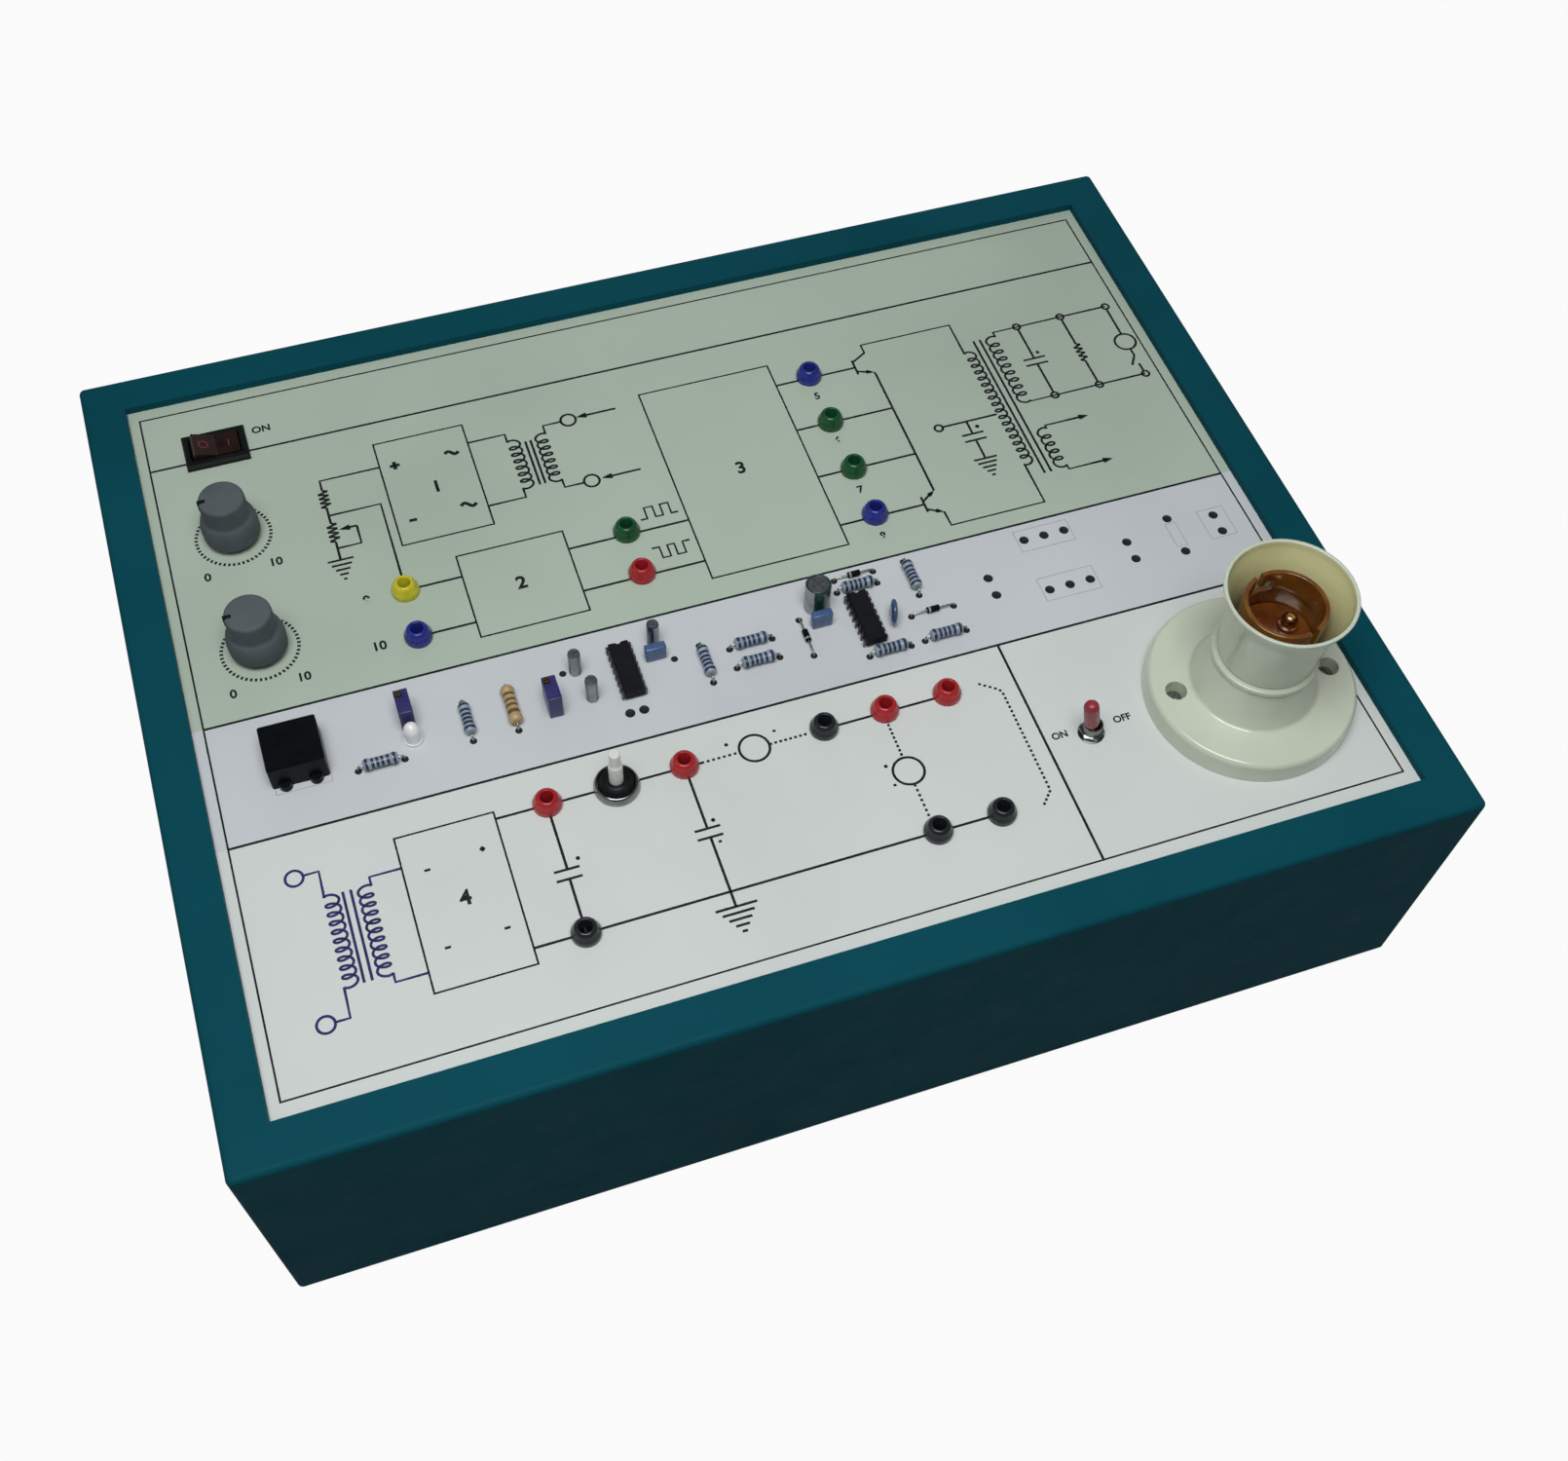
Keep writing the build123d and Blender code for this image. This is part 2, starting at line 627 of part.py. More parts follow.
def lamp_barrel():
    """The bayonet barrel: a tube with a collar and two hooked slots."""
    low = INSERT_LEDGE_H + INSERT_FLANGE_T
    outer = BARREL_BORE_R + BARREL_WALL
    guide = BARREL_TOP_H - BARREL_GUIDE_L
    wide = BARREL_BORE_R + BARREL_RELIEF
    profile = [
        (wide, low), (INSERT_FLANGE_R, low), (INSERT_FLANGE_R, low + COLLAR_T), (outer, low + COLLAR_T),
        (outer, BARREL_TOP_H), (BARREL_BORE_R, BARREL_TOP_H), (BARREL_BORE_R, guide), (wide, guide),
    ]
    barrel = lathe(profile)
    foot_z = BARREL_TOP_H - SLOT_DEPTH
    mid_r = BARREL_BORE_R + BARREL_WALL / 2
    for start in (90, 270):
        slot = Pos(mid_r, 0, (foot_z + BARREL_TOP_H + 1) / 2) * Box(4 * BARREL_WALL, SLOT_W, SLOT_DEPTH + 1)
        steps = 4
        for i in range(1, steps + 1):
            rise = 1.6 if i == steps else 0.0
            step = Pos(mid_r, 0, foot_z + (SLOT_W + rise) / 2) * Box(4 * BARREL_WALL, SLOT_W, SLOT_W + rise)
            slot += Rot(0, 0, -SLOT_TURN * i / steps) * step
        barrel -= Rot(0, 0, start) * slot
    return at_lamp(barrel)


def lamp_insert():
    """The insulating block that carries the two contacts."""
    ledge_hole = INSERT_FLANGE_R + SLIP - 3.0
    low_r = ledge_hole - FIT
    top_r = BARREL_BORE_R + BARREL_RELIEF - SLIP
    seat = INSERT_LEDGE_H
    profile = [
        (0, INSERT_BOTTOM_H), (low_r, INSERT_BOTTOM_H), (low_r, seat), (INSERT_FLANGE_R, seat),
        (INSERT_FLANGE_R, seat + INSERT_FLANGE_T), (top_r, seat + INSERT_FLANGE_T),
        (top_r, INSERT_FACE_H), (0, INSERT_FACE_H),
    ]
    insert = lathe(profile)
    for side in (-1, 1):
        insert -= rod(side * CONTACT_SPREAD, 0, INSERT_BOTTOM_H + 2.0, INSERT_FACE_H + 1, CONTACT_R + SLIP)
    return at_lamp(insert)


def lamp_contact(side):
    """A plunger with a rounded head."""
    top = INSERT_FACE_H + CONTACT_H
    profile = [
        (0, top - CONTACT_L), (CONTACT_R, top - CONTACT_L), (CONTACT_R, top - 1.0),
        (CONTACT_R - 1.0, top), (0, top),
    ]
    return at_lamp(Pos(side * CONTACT_SPREAD, 0, 0) * lathe(profile))


def lamp_spring(side):
    """A short coil of square wire between the insert's floor and the plunger."""
    low = INSERT_BOTTOM_H + 2.0
    top = INSERT_FACE_H + CONTACT_H - CONTACT_L
    wire = 0.5
    coil_r = CONTACT_R - 0.7
    turns = 4
    steps = 8
    points = []
    for i in range(turns * steps + 1):
        turn = 2 * math.pi * i / steps
        z = low + wire / 2 + (top - low - wire) * i / (turns * steps)
        points.append((coil_r * math.cos(turn), coil_r * math.sin(turn), z))
    path = Polyline(points)
    start = Plane(origin=path @ 0, z_dir=path % 0)
    coil = sweep(start * Rectangle(wire, wire), path=path, transition=Transition.RIGHT)
    return at_lamp(Pos(side * CONTACT_SPREAD, 0, 0) * coil)


def axial_leads(x, y, span, angle, body_l, r):
    """Two bent leads of a part that lies along the panel."""
    axis_h = Z_PANEL + STRIP_LIFT + r
    leads = []
    for side in (-1, 1):
        x_in = side * (body_l / 2)
        x_out = side * (span / 2)
        near, far = sorted((x_in, x_out))
        half = LEAD_T / 2
        run = block(near, far, -half, half, axis_h - half, axis_h + half)
        fall = block(x_out - half, x_out + half, -half, half, Z_PANEL, axis_h + half)
        leads.append(around(x, y, angle, run + fall))
    return leads


def axial_body(x, y, angle, body_l, r):
    """A lying round body."""
    return around(x, y, angle, Pos(0, 0, Z_PANEL + STRIP_LIFT + r) * Rot(0, 90, 0) * Cylinder(r, body_l))


def strip_leads():
    leads = []
    for x, y, span, angle in RESISTORS:
        leads += axial_leads(x, y, span, angle, RESISTOR_L, RESISTOR_R)
    leads += axial_leads(*TAN_RESISTOR, TAN_L, TAN_R)
    for x, y, span, angle in DIODES:
        leads += axial_leads(x, y, span, angle, DIODE_L, DIODE_R)
    return leads


def chip_body(x, y):
    low = Z_PANEL + CHIP_LIFT
    body = Pos(x, y, low + CHIP_T / 2) * Box(CHIP_W, CHIP_L, CHIP_T)
    body = chamfer(body.faces().sort_by(Axis.Z)[-1].edges(), 0.5)
    return body - rod(x, y + CHIP_L / 2, low + 1.0, low + 2 * CHIP_T, 1.0)


def chip_pins(x, y):
    low = Z_PANEL
    mid = Z_PANEL + CHIP_LIFT + CHIP_T / 2
    pins = []
    for row in range(8):
        dy = (row - 3.5) * CHIP_PITCH
        for side in (-1, 1):
            x_out = x + side * CHIP_ROWS / 2
            near, far = sorted((x + side * CHIP_W / 2, x_out + side * PIN_T / 2))
            shoulder = block(near, far, y + dy - PIN_W, y + dy + PIN_W, mid - PIN_T / 2, mid + PIN_T / 2)
            half = PIN_T / 2
            leg = block(x_out - half, x_out + half, y + dy - PIN_W / 2, y + dy + PIN_W / 2, low, mid)
            pins.append(shoulder + leg)
    return pins


def can(x, y, r, h):
    """An upright electrolytic."""
    return rod(x, y, Z_PANEL, Z_PANEL + h, r)


def box_cap(x, y):
    w, d, h = BOX_CAP
    return Pos(x, y, Z_PANEL + h / 2) * Box(w, d, h)


def disc_cap():
    x, y = DISC_CAP
    disc = Rot(0, 90, 0) * Cylinder(DISC_R, DISC_T)
    legs = block(-0.3, 0.3, -2.8, -2.2, -DISC_R - 1.0, -1.0) + block(-0.3, 0.3, 2.2, 2.8, -DISC_R - 1.0, -1.0)
    return Pos(x, y, Z_PANEL + DISC_R + 1.0) * (disc + legs)


def trimmer_screw_place(x, y):
    w, d, h = TRIMMER
    return x - w / 2 + 1.6, y + d / 2 - 1.7, Z_PANEL + h


def trimmer_body(x, y):
    """A small upright block with a recess for its adjusting screw."""
    w, d, h = TRIMMER
    body = Pos(x, y, Z_PANEL + h / 2) * Box(w, d, h)
    sx, sy, top = trimmer_screw_place(x, y)
    return body - rod(sx, sy, top - 2.0, top + 1, TRIMMER_SCREW_R + SLIP)


def trimmer_screw(x, y):
    sx, sy, top = trimmer_screw_place(x, y)
    screw_body = rod(sx, sy, top - 2.0, top + 0.5, TRIMMER_SCREW_R)
    return screw_body - Pos(sx, sy, top + 0.5) * Box(4 * TRIMMER_SCREW_R, 0.5, 1.2)


def led():
    """A clear lamp with a collar and a domed top."""
    x, y = LED
    r = LED_R
    cap = LED_H - 0.6 * r
    flange = r + LED_COLLAR
    profile = [(0, 0), (flange, 0), (flange, 1.0), (r, 1.0), (r, cap), (0.5 * r, LED_H), (0, LED_H)]
    return Pos(x, y, Z_PANEL) * lathe(profile)


def relay_block():
    """The black block with two round feet at its front."""
    x, y = RELAY
    body = Pos(x, y, Z_PANEL + RELAY_H / 2) * Box(RELAY_L, RELAY_D, RELAY_H)
    body = fillet(body.edges().filter_by(Axis.Z), 0.8)
    body = chamfer(body.faces().sort_by(Axis.Z)[-1].edges(), 0.6)
    for dx in (-4.6, 4.6):
        body += rod(x + dx, y - RELAY_D / 2, Z_PANEL, Z_PANEL + 2.4, 2.0)
    return body


def control_board():
    z1 = Z_UNDER - BOARD_DROP
    board = Pos(BOARD_X, BOARD_Y, z1 - BOARD_T / 2) * Box(BOARD_W, BOARD_D, BOARD_T)
    return board


def spacer_places():
    dx = BOARD_W / 2 - 6.0
    return [(BOARD_X + sx * dx, BOARD_Y + BOARD_D / 2 - 5.0) for sx in (-1, 1)] + [
        (BOARD_X + sx * dx, BOARD_Y - BOARD_D / 2 + 5.0) for sx in (-1, 1)]


def spacers():
    return [rod(x, y, Z_UNDER - BOARD_DROP, Z_UNDER, SPACER_R) for x, y in spacer_places()]


def core(x, y):
    """A shell-type laminated core: three limbs joined at top and bottom, standing on feet."""
    z0 = Z_FLOOR
    stack = block(x - CORE_W / 2, x + CORE_W / 2, y - CORE_D / 2, y + CORE_D / 2, z0, z0 + CORE_H)
    window_h = CORE_H - CORE_LIMB
    for side in (-1, 1):
        cx = x + side * (CORE_LIMB + CORE_WINDOW_W) / 2
        stack -= Pos(cx, y, z0 + CORE_H / 2) * Box(CORE_WINDOW_W, 2 * CORE_D, window_h)
    return stack


def coil(x, y):
    """The winding on its bobbin: two flanges and the wound mass between them, around the middle limb."""
    z0 = Z_FLOOR
    window_h = CORE_H - CORE_LIMB
    mid = z0 + CORE_H / 2
    gap = FIT
    hole_x = CORE_LIMB / 2 + gap
    hole_y = CORE_D / 2 + gap
    inner = block(x - hole_x, x + hole_x, y - hole_y, y + hole_y, z0, z0 + CORE_H)
    reach_x = CORE_LIMB / 2 + CORE_WINDOW_W - gap
    reach_y = CORE_D / 2 + COIL_OUT
    half = window_h / 2 - gap
    flange_t = 1.5
    wound = Pos(x, y, mid) * Box(2 * reach_x - 1.6, 2 * reach_y - 1.6, 2 * half)
    wound = fillet(wound.edges().filter_by(Axis.Z), 5.0)
    for z in (mid - half + flange_t / 2, mid + half - flange_t / 2):
        wound += Pos(x, y, z) * Box(2 * reach_x, 2 * reach_y, flange_t)
    return wound - inner


def heat_sink():
    """A finned plate standing on the floor."""
    z0 = Z_FLOOR
    left = SINK_X - SINK_W / 2
    sink = block(left, left + SINK_W, SINK_Y - SINK_T / 2, SINK_Y + SINK_T / 2, z0, z0 + SINK_H)
    for i in range(FINS):
        fx = left + i * (SINK_W - FIN_T) / (FINS - 1)
        sink += block(fx, fx + FIN_T, SINK_Y, SINK_Y + SINK_FIN, z0, z0 + SINK_H)
    return sink


def power_transistor(dx):
    """A flat package against the heat sink, its three legs down."""
    y1 = SINK_Y - SINK_T / 2
    z0 = Z_FLOOR + TRANSISTOR_LEG_L + 2.0
    half = TRANSISTOR_W / 2
    body = block(SINK_X + dx - half, SINK_X + dx + half, y1 - TRANSISTOR_T, y1, z0, z0 + TRANSISTOR_H)
    y_leg = y1 - TRANSISTOR_T / 2
    for px in (-TRANSISTOR_LEG_PITCH, 0.0, TRANSISTOR_LEG_PITCH):
        x = SINK_X + dx + px
        low = z0 - TRANSISTOR_LEG_L
        body += block(x - LEAD_T, x + LEAD_T, y_leg - LEAD_T / 2, y_leg + LEAD_T / 2, low, z0)
    return body


def bridge():
    """The supply's rectifier: a square block with four tabs up."""
    x, y = BRIDGE_X, SUPPLY_Y
    half = BRIDGE_W / 2
    top = Z_FLOOR + BRIDGE_H
    body = block(x - half, x + half, y - half, y + half, Z_FLOOR, top)
    for dx in (-BRIDGE_TAB_AT, BRIDGE_TAB_AT):
        for dy in (-BRIDGE_TAB_AT, BRIDGE_TAB_AT):
            body += tab(x + dx, y + dy, top - TAB_T, top + BRIDGE_TAB_L, BREAKER_TAB_W)
    return body


def filter_cans():
    """The supply's two smoothing capacitors."""
    z0 = Z_FLOOR
    return [rod(x, SUPPLY_Y, z0, z0 + SUPPLY_CAN_H, SUPPLY_CAN_R) for x in (SINK_X - SUPPLY_PITCH, SINK_X)]


def inlet_housing():
    """The mains inlet: flange on the wall's outside, a body with a keyed well behind it."""
    back = CASE_D / 2
    plate = Box(INLET_FLANGE_W, INLET_FLANGE_T, INLET_FLANGE_H)
    flange = Pos(INLET_X, back + INLET_FLANGE_T / 2, INLET_Z) * plate
    flange = fillet(flange.edges().filter_by(Axis.Y), 4.0)
    body = Pos(INLET_X, back - INLET_BODY_D / 2, INLET_Z) * Box(INLET_BODY_W, INLET_BODY_D, INLET_BODY_H)
    well = Pos(INLET_X, back + INLET_FLANGE_T - INLET_WELL_D / 2 + 0.5, INLET_Z) * Box(
        INLET_WELL_W, INLET_WELL_D + 1, INLET_WELL_H)
    well = chamfer(well.edges().filter_by(Axis.Y).group_by(Axis.Z)[-1], 5.0)
    return flange + body - well


def inlet_pins():
    end = CASE_D / 2 + INLET_FLANGE_T - INLET_WELL_D
    places = ((-INLET_PIN_SPREAD, -INLET_PIN_OFF), (0, INLET_PIN_OFF), (INLET_PIN_SPREAD, -INLET_PIN_OFF))
    half_t = INLET_PIN_T / 2
    half_h = INLET_PIN_H / 2
    pins = []
    for dx, dz in places:
        x = INLET_X + dx
        z = INLET_Z + dz
        pins.append(block(x - half_t, x + half_t, end, end + INLET_PIN_L, z - half_h, z + half_h))
    return pins


def fuse_holder():
    back = CASE_D / 2
    turn = Rot(90, 0, 0)
    flange = Pos(FUSE_X, back + FUSE_FLANGE_T / 2, INLET_Z) * turn * Cylinder(FUSE_FLANGE_R, FUSE_FLANGE_T)
    body = Pos(FUSE_X, back - FUSE_DEPTH / 2, INLET_Z) * turn * Cylinder(FUSE_R, FUSE_DEPTH)
    return flange + body


def build():
    save("case_shell", case_shell())
    save("base_plate", base_plate())
    save("rubber_feet", *[foot(x, y) for x, y in foot_places()])
    save("front_panel", front_panel())
    save("panel_rails", panel_rail(1), panel_rail(-1))
    save("power_switch_housing", power_housing())
    save("power_rocker", power_rocker())
    save("mains_terminals", *power_terminals(), *inlet_pins())
    for name, y in KNOB_YS.items():
        place = Pos(KNOB_X, y, Z_PANEL)
        save(f"{name}_knob", place * knob())
        save(f"{name}_pot_shaft", place * pot_shaft())
        save(f"{name}_pot_body", place * pot_body())
    toggle_nut = hex_nut(TOGGLE_X, TOGGLE_Y, Z_PANEL, TOGGLE_NUT_AF, TOGGLE_NUT_T, TOGGLE_BUSH_R)
    pot_nuts = [hex_nut(KNOB_X, y, Z_PANEL, POT_NUT_AF, POT_NUT_T, POT_BUSH_R) for y in KNOB_YS.values()]
    save("panel_nuts", toggle_nut, *pot_nuts)
    for colour, places in SOCKETS.items():
        save(f"sockets_{colour}", *[socket_body(x, y) for x, y in places])
    save("socket_tags", *[socket_tag(x, y) for x, y in all_sockets()])
    save("breaker_body", breaker_body())
    save("breaker_nut", hex_nut(BREAKER_X, BREAKER_Y, Z_PANEL, BREAKER_NUT_AF, BREAKER_NUT_T, BREAKER_BUSH_R))
    save("breaker_button", breaker_button())
    save("toggle_body", toggle_body())
    save("toggle_lever", toggle_lever())
    save("toggle_sleeve", toggle_sleeve())
    save("lamp_base", lamp_base())
    save("lamp_cup", lamp_cup())
    save("lamp_barrel", lamp_barrel())
    save("lamp_insert", lamp_insert())
    for side, name in ((-1, "left"), (1, "right")):
        save(f"lamp_contact_{name}", lamp_contact(side))
        save(f"lamp_spring_{name}", lamp_spring(side))
    save("resistors", *[axial_body(x, y, a, RESISTOR_L, RESISTOR_R) for x, y, _, a in RESISTORS])
    tx, ty, _, ta = TAN_RESISTOR
    save("tan_resistor", axial_body(tx, ty, ta, TAN_L, TAN_R))
    save("diodes", *[axial_body(x, y, a, DIODE_L, DIODE_R) for x, y, _, a in DIODES])
    save("component_leads", *strip_leads())
    save("chips", *[chip_body(x, y) for x, y in CHIPS])
    save("chip_pins", *[pin for x, y in CHIPS for pin in chip_pins(x, y)])
    cans = [can(x, y, SMALL_CAN_R, SMALL_CAN_H) for x, y in SMALL_CANS]
    save("electrolytics", *cans, can(*LARGE_CAN, LARGE_CAN_R, LARGE_CAN_H))
    save("film_capacitors", *[box_cap(x, y) for x, y in BOX_CAPS], disc_cap())
    save("trimmer_bodies", *[trimmer_body(x, y) for x, y in TRIMMERS])
    for name, (x, y) in zip(("left", "right"), TRIMMERS):
        save(f"trimmer_screw_{name}", trimmer_screw(x, y))
    save("indicator_led", led())
    save("relay_block", relay_block())
    save("control_board", control_board())
    save("board_spacers", *spacers())
    save("transformer_cores", core(*MAINS_CORE), core(*OUTPUT_CORE))
    save("transformer_coils", coil(*MAINS_CORE), coil(*OUTPUT_CORE))
    save("heat_sink", heat_sink())
    save("power_semiconductors", power_transistor(-TRANSISTOR_X), power_transistor(TRANSISTOR_X), bridge())
    save("filter_capacitors", *filter_cans())
    save("inlet_housing", inlet_housing())
    save("fuse_holder", fuse_holder())


build()
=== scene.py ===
"""Dresses a bench inverter trainer: a teal steel case with a printed circuit panel and its fittings.

Sizes are in millimetres and turned into metres where a mesh is made. The frame is that of the CAD part: X to
the right, Y to the back, Z up, with Z = 0 under the feet. Heights of the panel's parts start at its face.
"""

from __future__ import annotations

import logging
import math
from contextlib import contextmanager
from dataclasses import dataclass, field
from enum import Enum
from typing import Callable, Iterable, Iterator, Sequence, Union

import bmesh
import bpy
from mathutils import Matrix, Vector

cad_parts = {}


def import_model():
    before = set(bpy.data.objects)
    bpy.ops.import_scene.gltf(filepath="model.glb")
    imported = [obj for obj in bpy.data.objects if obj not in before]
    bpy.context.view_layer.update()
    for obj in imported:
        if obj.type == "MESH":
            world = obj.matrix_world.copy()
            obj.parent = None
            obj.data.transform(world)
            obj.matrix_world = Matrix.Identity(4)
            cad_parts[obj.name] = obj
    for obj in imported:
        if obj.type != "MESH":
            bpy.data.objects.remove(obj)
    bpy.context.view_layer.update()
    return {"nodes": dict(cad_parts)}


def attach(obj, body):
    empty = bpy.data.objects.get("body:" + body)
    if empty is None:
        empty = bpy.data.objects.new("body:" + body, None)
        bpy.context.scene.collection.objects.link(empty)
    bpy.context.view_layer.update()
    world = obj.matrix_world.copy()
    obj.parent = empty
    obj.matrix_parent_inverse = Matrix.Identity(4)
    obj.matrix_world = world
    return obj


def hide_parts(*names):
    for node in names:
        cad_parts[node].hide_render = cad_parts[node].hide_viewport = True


LOG = logging.getLogger("inverter_trainer")
MM = 0.001
PANEL_Z = 99.2

Point = tuple[float, float]
Colour = tuple[float, float, float]
Corners = Iterable[Sequence[float]]
Piece = bpy.types.Object
Socket = bpy.types.NodeSocket
Value = Union[float, Sequence[float], bpy.types.NodeSocket]


def srgb(red: int, green: int, blue: int) -> Colour:
    """A screen colour, given from 0 to 255, as linear light."""
    shares = (red / 255, green / 255, blue / 255)
    return tuple(share / 12.92 if share <= 0.04045 else ((share + 0.055) / 1.055) ** 2.4 for share in shares)


def scaled(colour: Colour, share: float) -> Colour:
    """A colour made lighter or darker by a share."""
    return tuple(min(1.0, channel * share) for channel in colour)


def around(angle: float, reach: float = 1.0) -> Point:
    """The point at an angle in degrees and a distance from the origin."""
    return reach * math.cos(math.radians(angle)), reach * math.sin(math.radians(angle))


# Finishes


class Board:
    """A node tree, with short calls for the nodes used here."""

    def __init__(self, tree: bpy.types.NodeTree, output: str) -> None:
        """Empties a tree and gives it an output.

        Args:
            tree: The tree of a material or a world.
            output: Kind of the output node.
        """
        tree.nodes.clear()
        self.tree = tree
        self.surface = self.add(output).inputs["Surface"]

    def feed(self, socket: Socket, value: Value) -> None:
        """Links a socket to another one, or sets its value.

        Args:
            socket: The input.
            value: The output that feeds it, or its value.
        """
        if isinstance(value, Socket):
            self.tree.links.new(value, socket)
        else:
            socket.default_value = value

    def add(self, kind: str, **inputs: Value) -> bpy.types.Node:
        """Adds a node.

        Args:
            kind: Its kind.
            inputs: What feeds its inputs, which are named with underscores for spaces.

        Returns:
            The node.
        """
        node = self.tree.nodes.new(f"ShaderNode{kind}")
        for name, value in inputs.items():
            self.feed(node.inputs[name.replace("_", " ")], value)
        return node

    def show(self, plain: Socket, seen: Socket, share: float) -> None:
        """Shows one shader to the camera and another one to everything else.

        Args:
            plain: The shader that lights the object.
            seen: The shader that the camera sees.
            share: How much of it the camera sees.
        """
        factor = self.add("Math")
        factor.operation = "MULTIPLY"
        self.feed(factor.inputs[0], self.add("LightPath").outputs["Is Camera Ray"])
        self.feed(factor.inputs[1], share)
        mix = self.add("MixShader", Fac=factor.outputs[0])
        self.feed(mix.inputs[1], plain)
        self.feed(mix.inputs[2], seen)
        self.feed(self.surface, mix.outputs[0])


class SurfaceBoard(Board):
    """The tree of a material around one shader, with patterns on Object coordinates."""

    def __init__(self, title: str) -> None:
        """Starts a material.

        Args:
            title: Its name.
        """
        self.material = bpy.data.materials.new(title)
        self.material.use_nodes = True
        super().__init__(self.material.node_tree, "OutputMaterial")
        self.shader = self.add("BsdfPrincipled")
        self.feed(self.surface, self.shader.outputs["BSDF"])
        self.place = self.add("TexCoord").outputs["Object"]

    @property
    def colour(self) -> Socket:
        """What gives the shader its colour so far."""
        return self.shader.inputs["Base Color"].links[0].from_socket

    def set(self, **inputs: Value) -> None:
        """Feeds inputs of the shader, which are named with underscores for spaces."""
        for name, value in inputs.items():
            self.feed(self.shader.inputs[name.replace("_", " ")], value)

    def noise(self, scale: float, detail: float = 3.0, stretch: Sequence[float] = (1, 1, 1)) -> Socket:
        """A noise pattern with so many grains for each metre, stretched along the axes."""
        place = self.add("Mapping", Vector=self.place, Scale=stretch).outputs["Vector"]
        return self.add("TexNoise", Vector=place, Scale=scale, Detail=detail).outputs["Fac"]

    def ramp(self, source: Socket, stops: Sequence[tuple[float, Colour]]) -> Socket:
        """Maps a value to colours.

        Args:
            source: The value.
            stops: Places from 0 to 1 with their colours.

        Returns:
            The colour.
        """
        node = self.add("ValToRGB", Fac=source)
        while len(node.color_ramp.elements) < len(stops):
            node.color_ramp.elements.new(0.5)
        for element, (spot, colour) in zip(node.color_ramp.elements, stops):
            element.position = spot
            element.color = (*colour, 1.0)
        return node.outputs["Color"]

    def span(self, source: Socket, low: float, high: float) -> Socket:
        """Maps a value from 0.3 to 0.7 onto a range."""
        node = self.add("MapRange", Value=source, From_Min=0.3, From_Max=0.7, To_Min=low, To_Max=high)
        return node.outputs["Result"]

    def lay(self, share: Socket, colour: Socket) -> None:
        """Lays a colour over the shader's own.

        Args:
            share: How much of it shows.
            colour: The colour.
        """
        node = self.add("Mix")
        node.data_type = "RGBA"
        for name, value in (("Factor", share), ("A", self.colour), ("B", colour)):
            self.feed(node.inputs[name], value)
        self.set(Base_Color=node.outputs["Result"])

    def relief(self, height: Socket, strength: float, depth: float) -> None:
        """Adds a bump to those there are.

        Args:
            height: Its pattern.
            strength: Its strength.
            depth: Its depth in millimetres.
        """
        normal = self.shader.inputs["Normal"]
        bump = self.add("Bump", Strength=strength, Distance=depth * MM, Height=height)
        if normal.is_linked:
            self.feed(bump.inputs["Normal"], normal.links[0].from_socket)
        self.feed(normal, bump.outputs["Normal"])


@dataclass(frozen=True)
class Finish:
    """A surface with mottled colour, uneven gloss and a fine grain.

    Attributes:
        label: Start of the material's name.
        colour: Main colour, linear.
        mottle: How much darker the darker patches are, 0 to 1.
        patch: Patches for each metre.
        gloss: Lowest and highest roughness.
        grain: Grains of the relief for each metre.
        depth: Depth of the grain in millimetres.
        metal: 1 for bare metal.
        coat: Weight of a clear coat.
        through: Weight of light scattered inside, for moulded plastics.
        clear: Weight of light passing through.
        stretch: Stretch of the grain along each axis.
        shine: Strength of the mirror-like share of a surface that isn't metal.
    """

    label: str
    colour: Colour
    mottle: float = 0.12
    patch: float = 60.0
    gloss: Point = (0.3, 0.45)
    grain: float = 1500.0
    depth: float = 0.01
    metal: float = 0.0
    coat: float = 0.0
    through: float = 0.0
    clear: float = 0.0
    stretch: tuple[float, float, float] = (1.0, 1.0, 1.0)
    shine: float = 0.5

    @property
    def title(self) -> str:
        """The material's name, which no slot of the record has."""
        return f"{self.label}_finish"

    def board(self) -> SurfaceBoard:
        """Builds the material's nodes.

        Returns:
            The board they are on.
        """
        board = SurfaceBoard(self.title)
        patches = board.noise(self.patch, 4.0, self.stretch)
        stops = zip((0.32, 0.5, 0.7), (1 - self.mottle, 1, 1 + 0.4 * self.mottle))
        shades = [(spot, scaled(self.colour, share)) for spot, share in stops]
        gloss = board.span(board.noise(self.patch * 5, 5.0, self.stretch), *self.gloss)
        board.set(Base_Color=board.ramp(patches, shades), Roughness=gloss, Metallic=self.metal,
                  Specular_IOR_Level=self.shine, Coat_Weight=self.coat, Coat_Roughness=0.08)
        board.relief(board.noise(self.grain, 2.0, self.stretch), 0.6, self.depth)
        if self.through:
            board.set(Subsurface_Weight=self.through, Subsurface_Scale=0.002,
                      Subsurface_Radius=(1.0, 0.8, 0.6))
        if self.clear:
            board.set(Transmission_Weight=self.clear, IOR=1.49)
        return board

    def material(self) -> bpy.types.Material:
        """The material, made once."""
        return bpy.data.materials.get(self.title) or self.board().material


@dataclass(frozen=True)
class PowderCoat(Finish):
    """Baked powder paint, with a skin of so many pebbles for each metre."""

    pebble: float = 620.0

    def board(self) -> SurfaceBoard:
        """Adds pebbles and a slow wave to the plain finish.

        Returns:
            The board.
        """
        board = super().board()
        cells = board.add("TexVoronoi", Vector=board.place, Scale=self.pebble)
        cells.feature = "SMOOTH_F1"
        board.relief(cells.outputs["Distance"], 0.55, 0.06)
        board.relief(board.noise(240.0, 2.0), 0.35, 0.05)
        return board


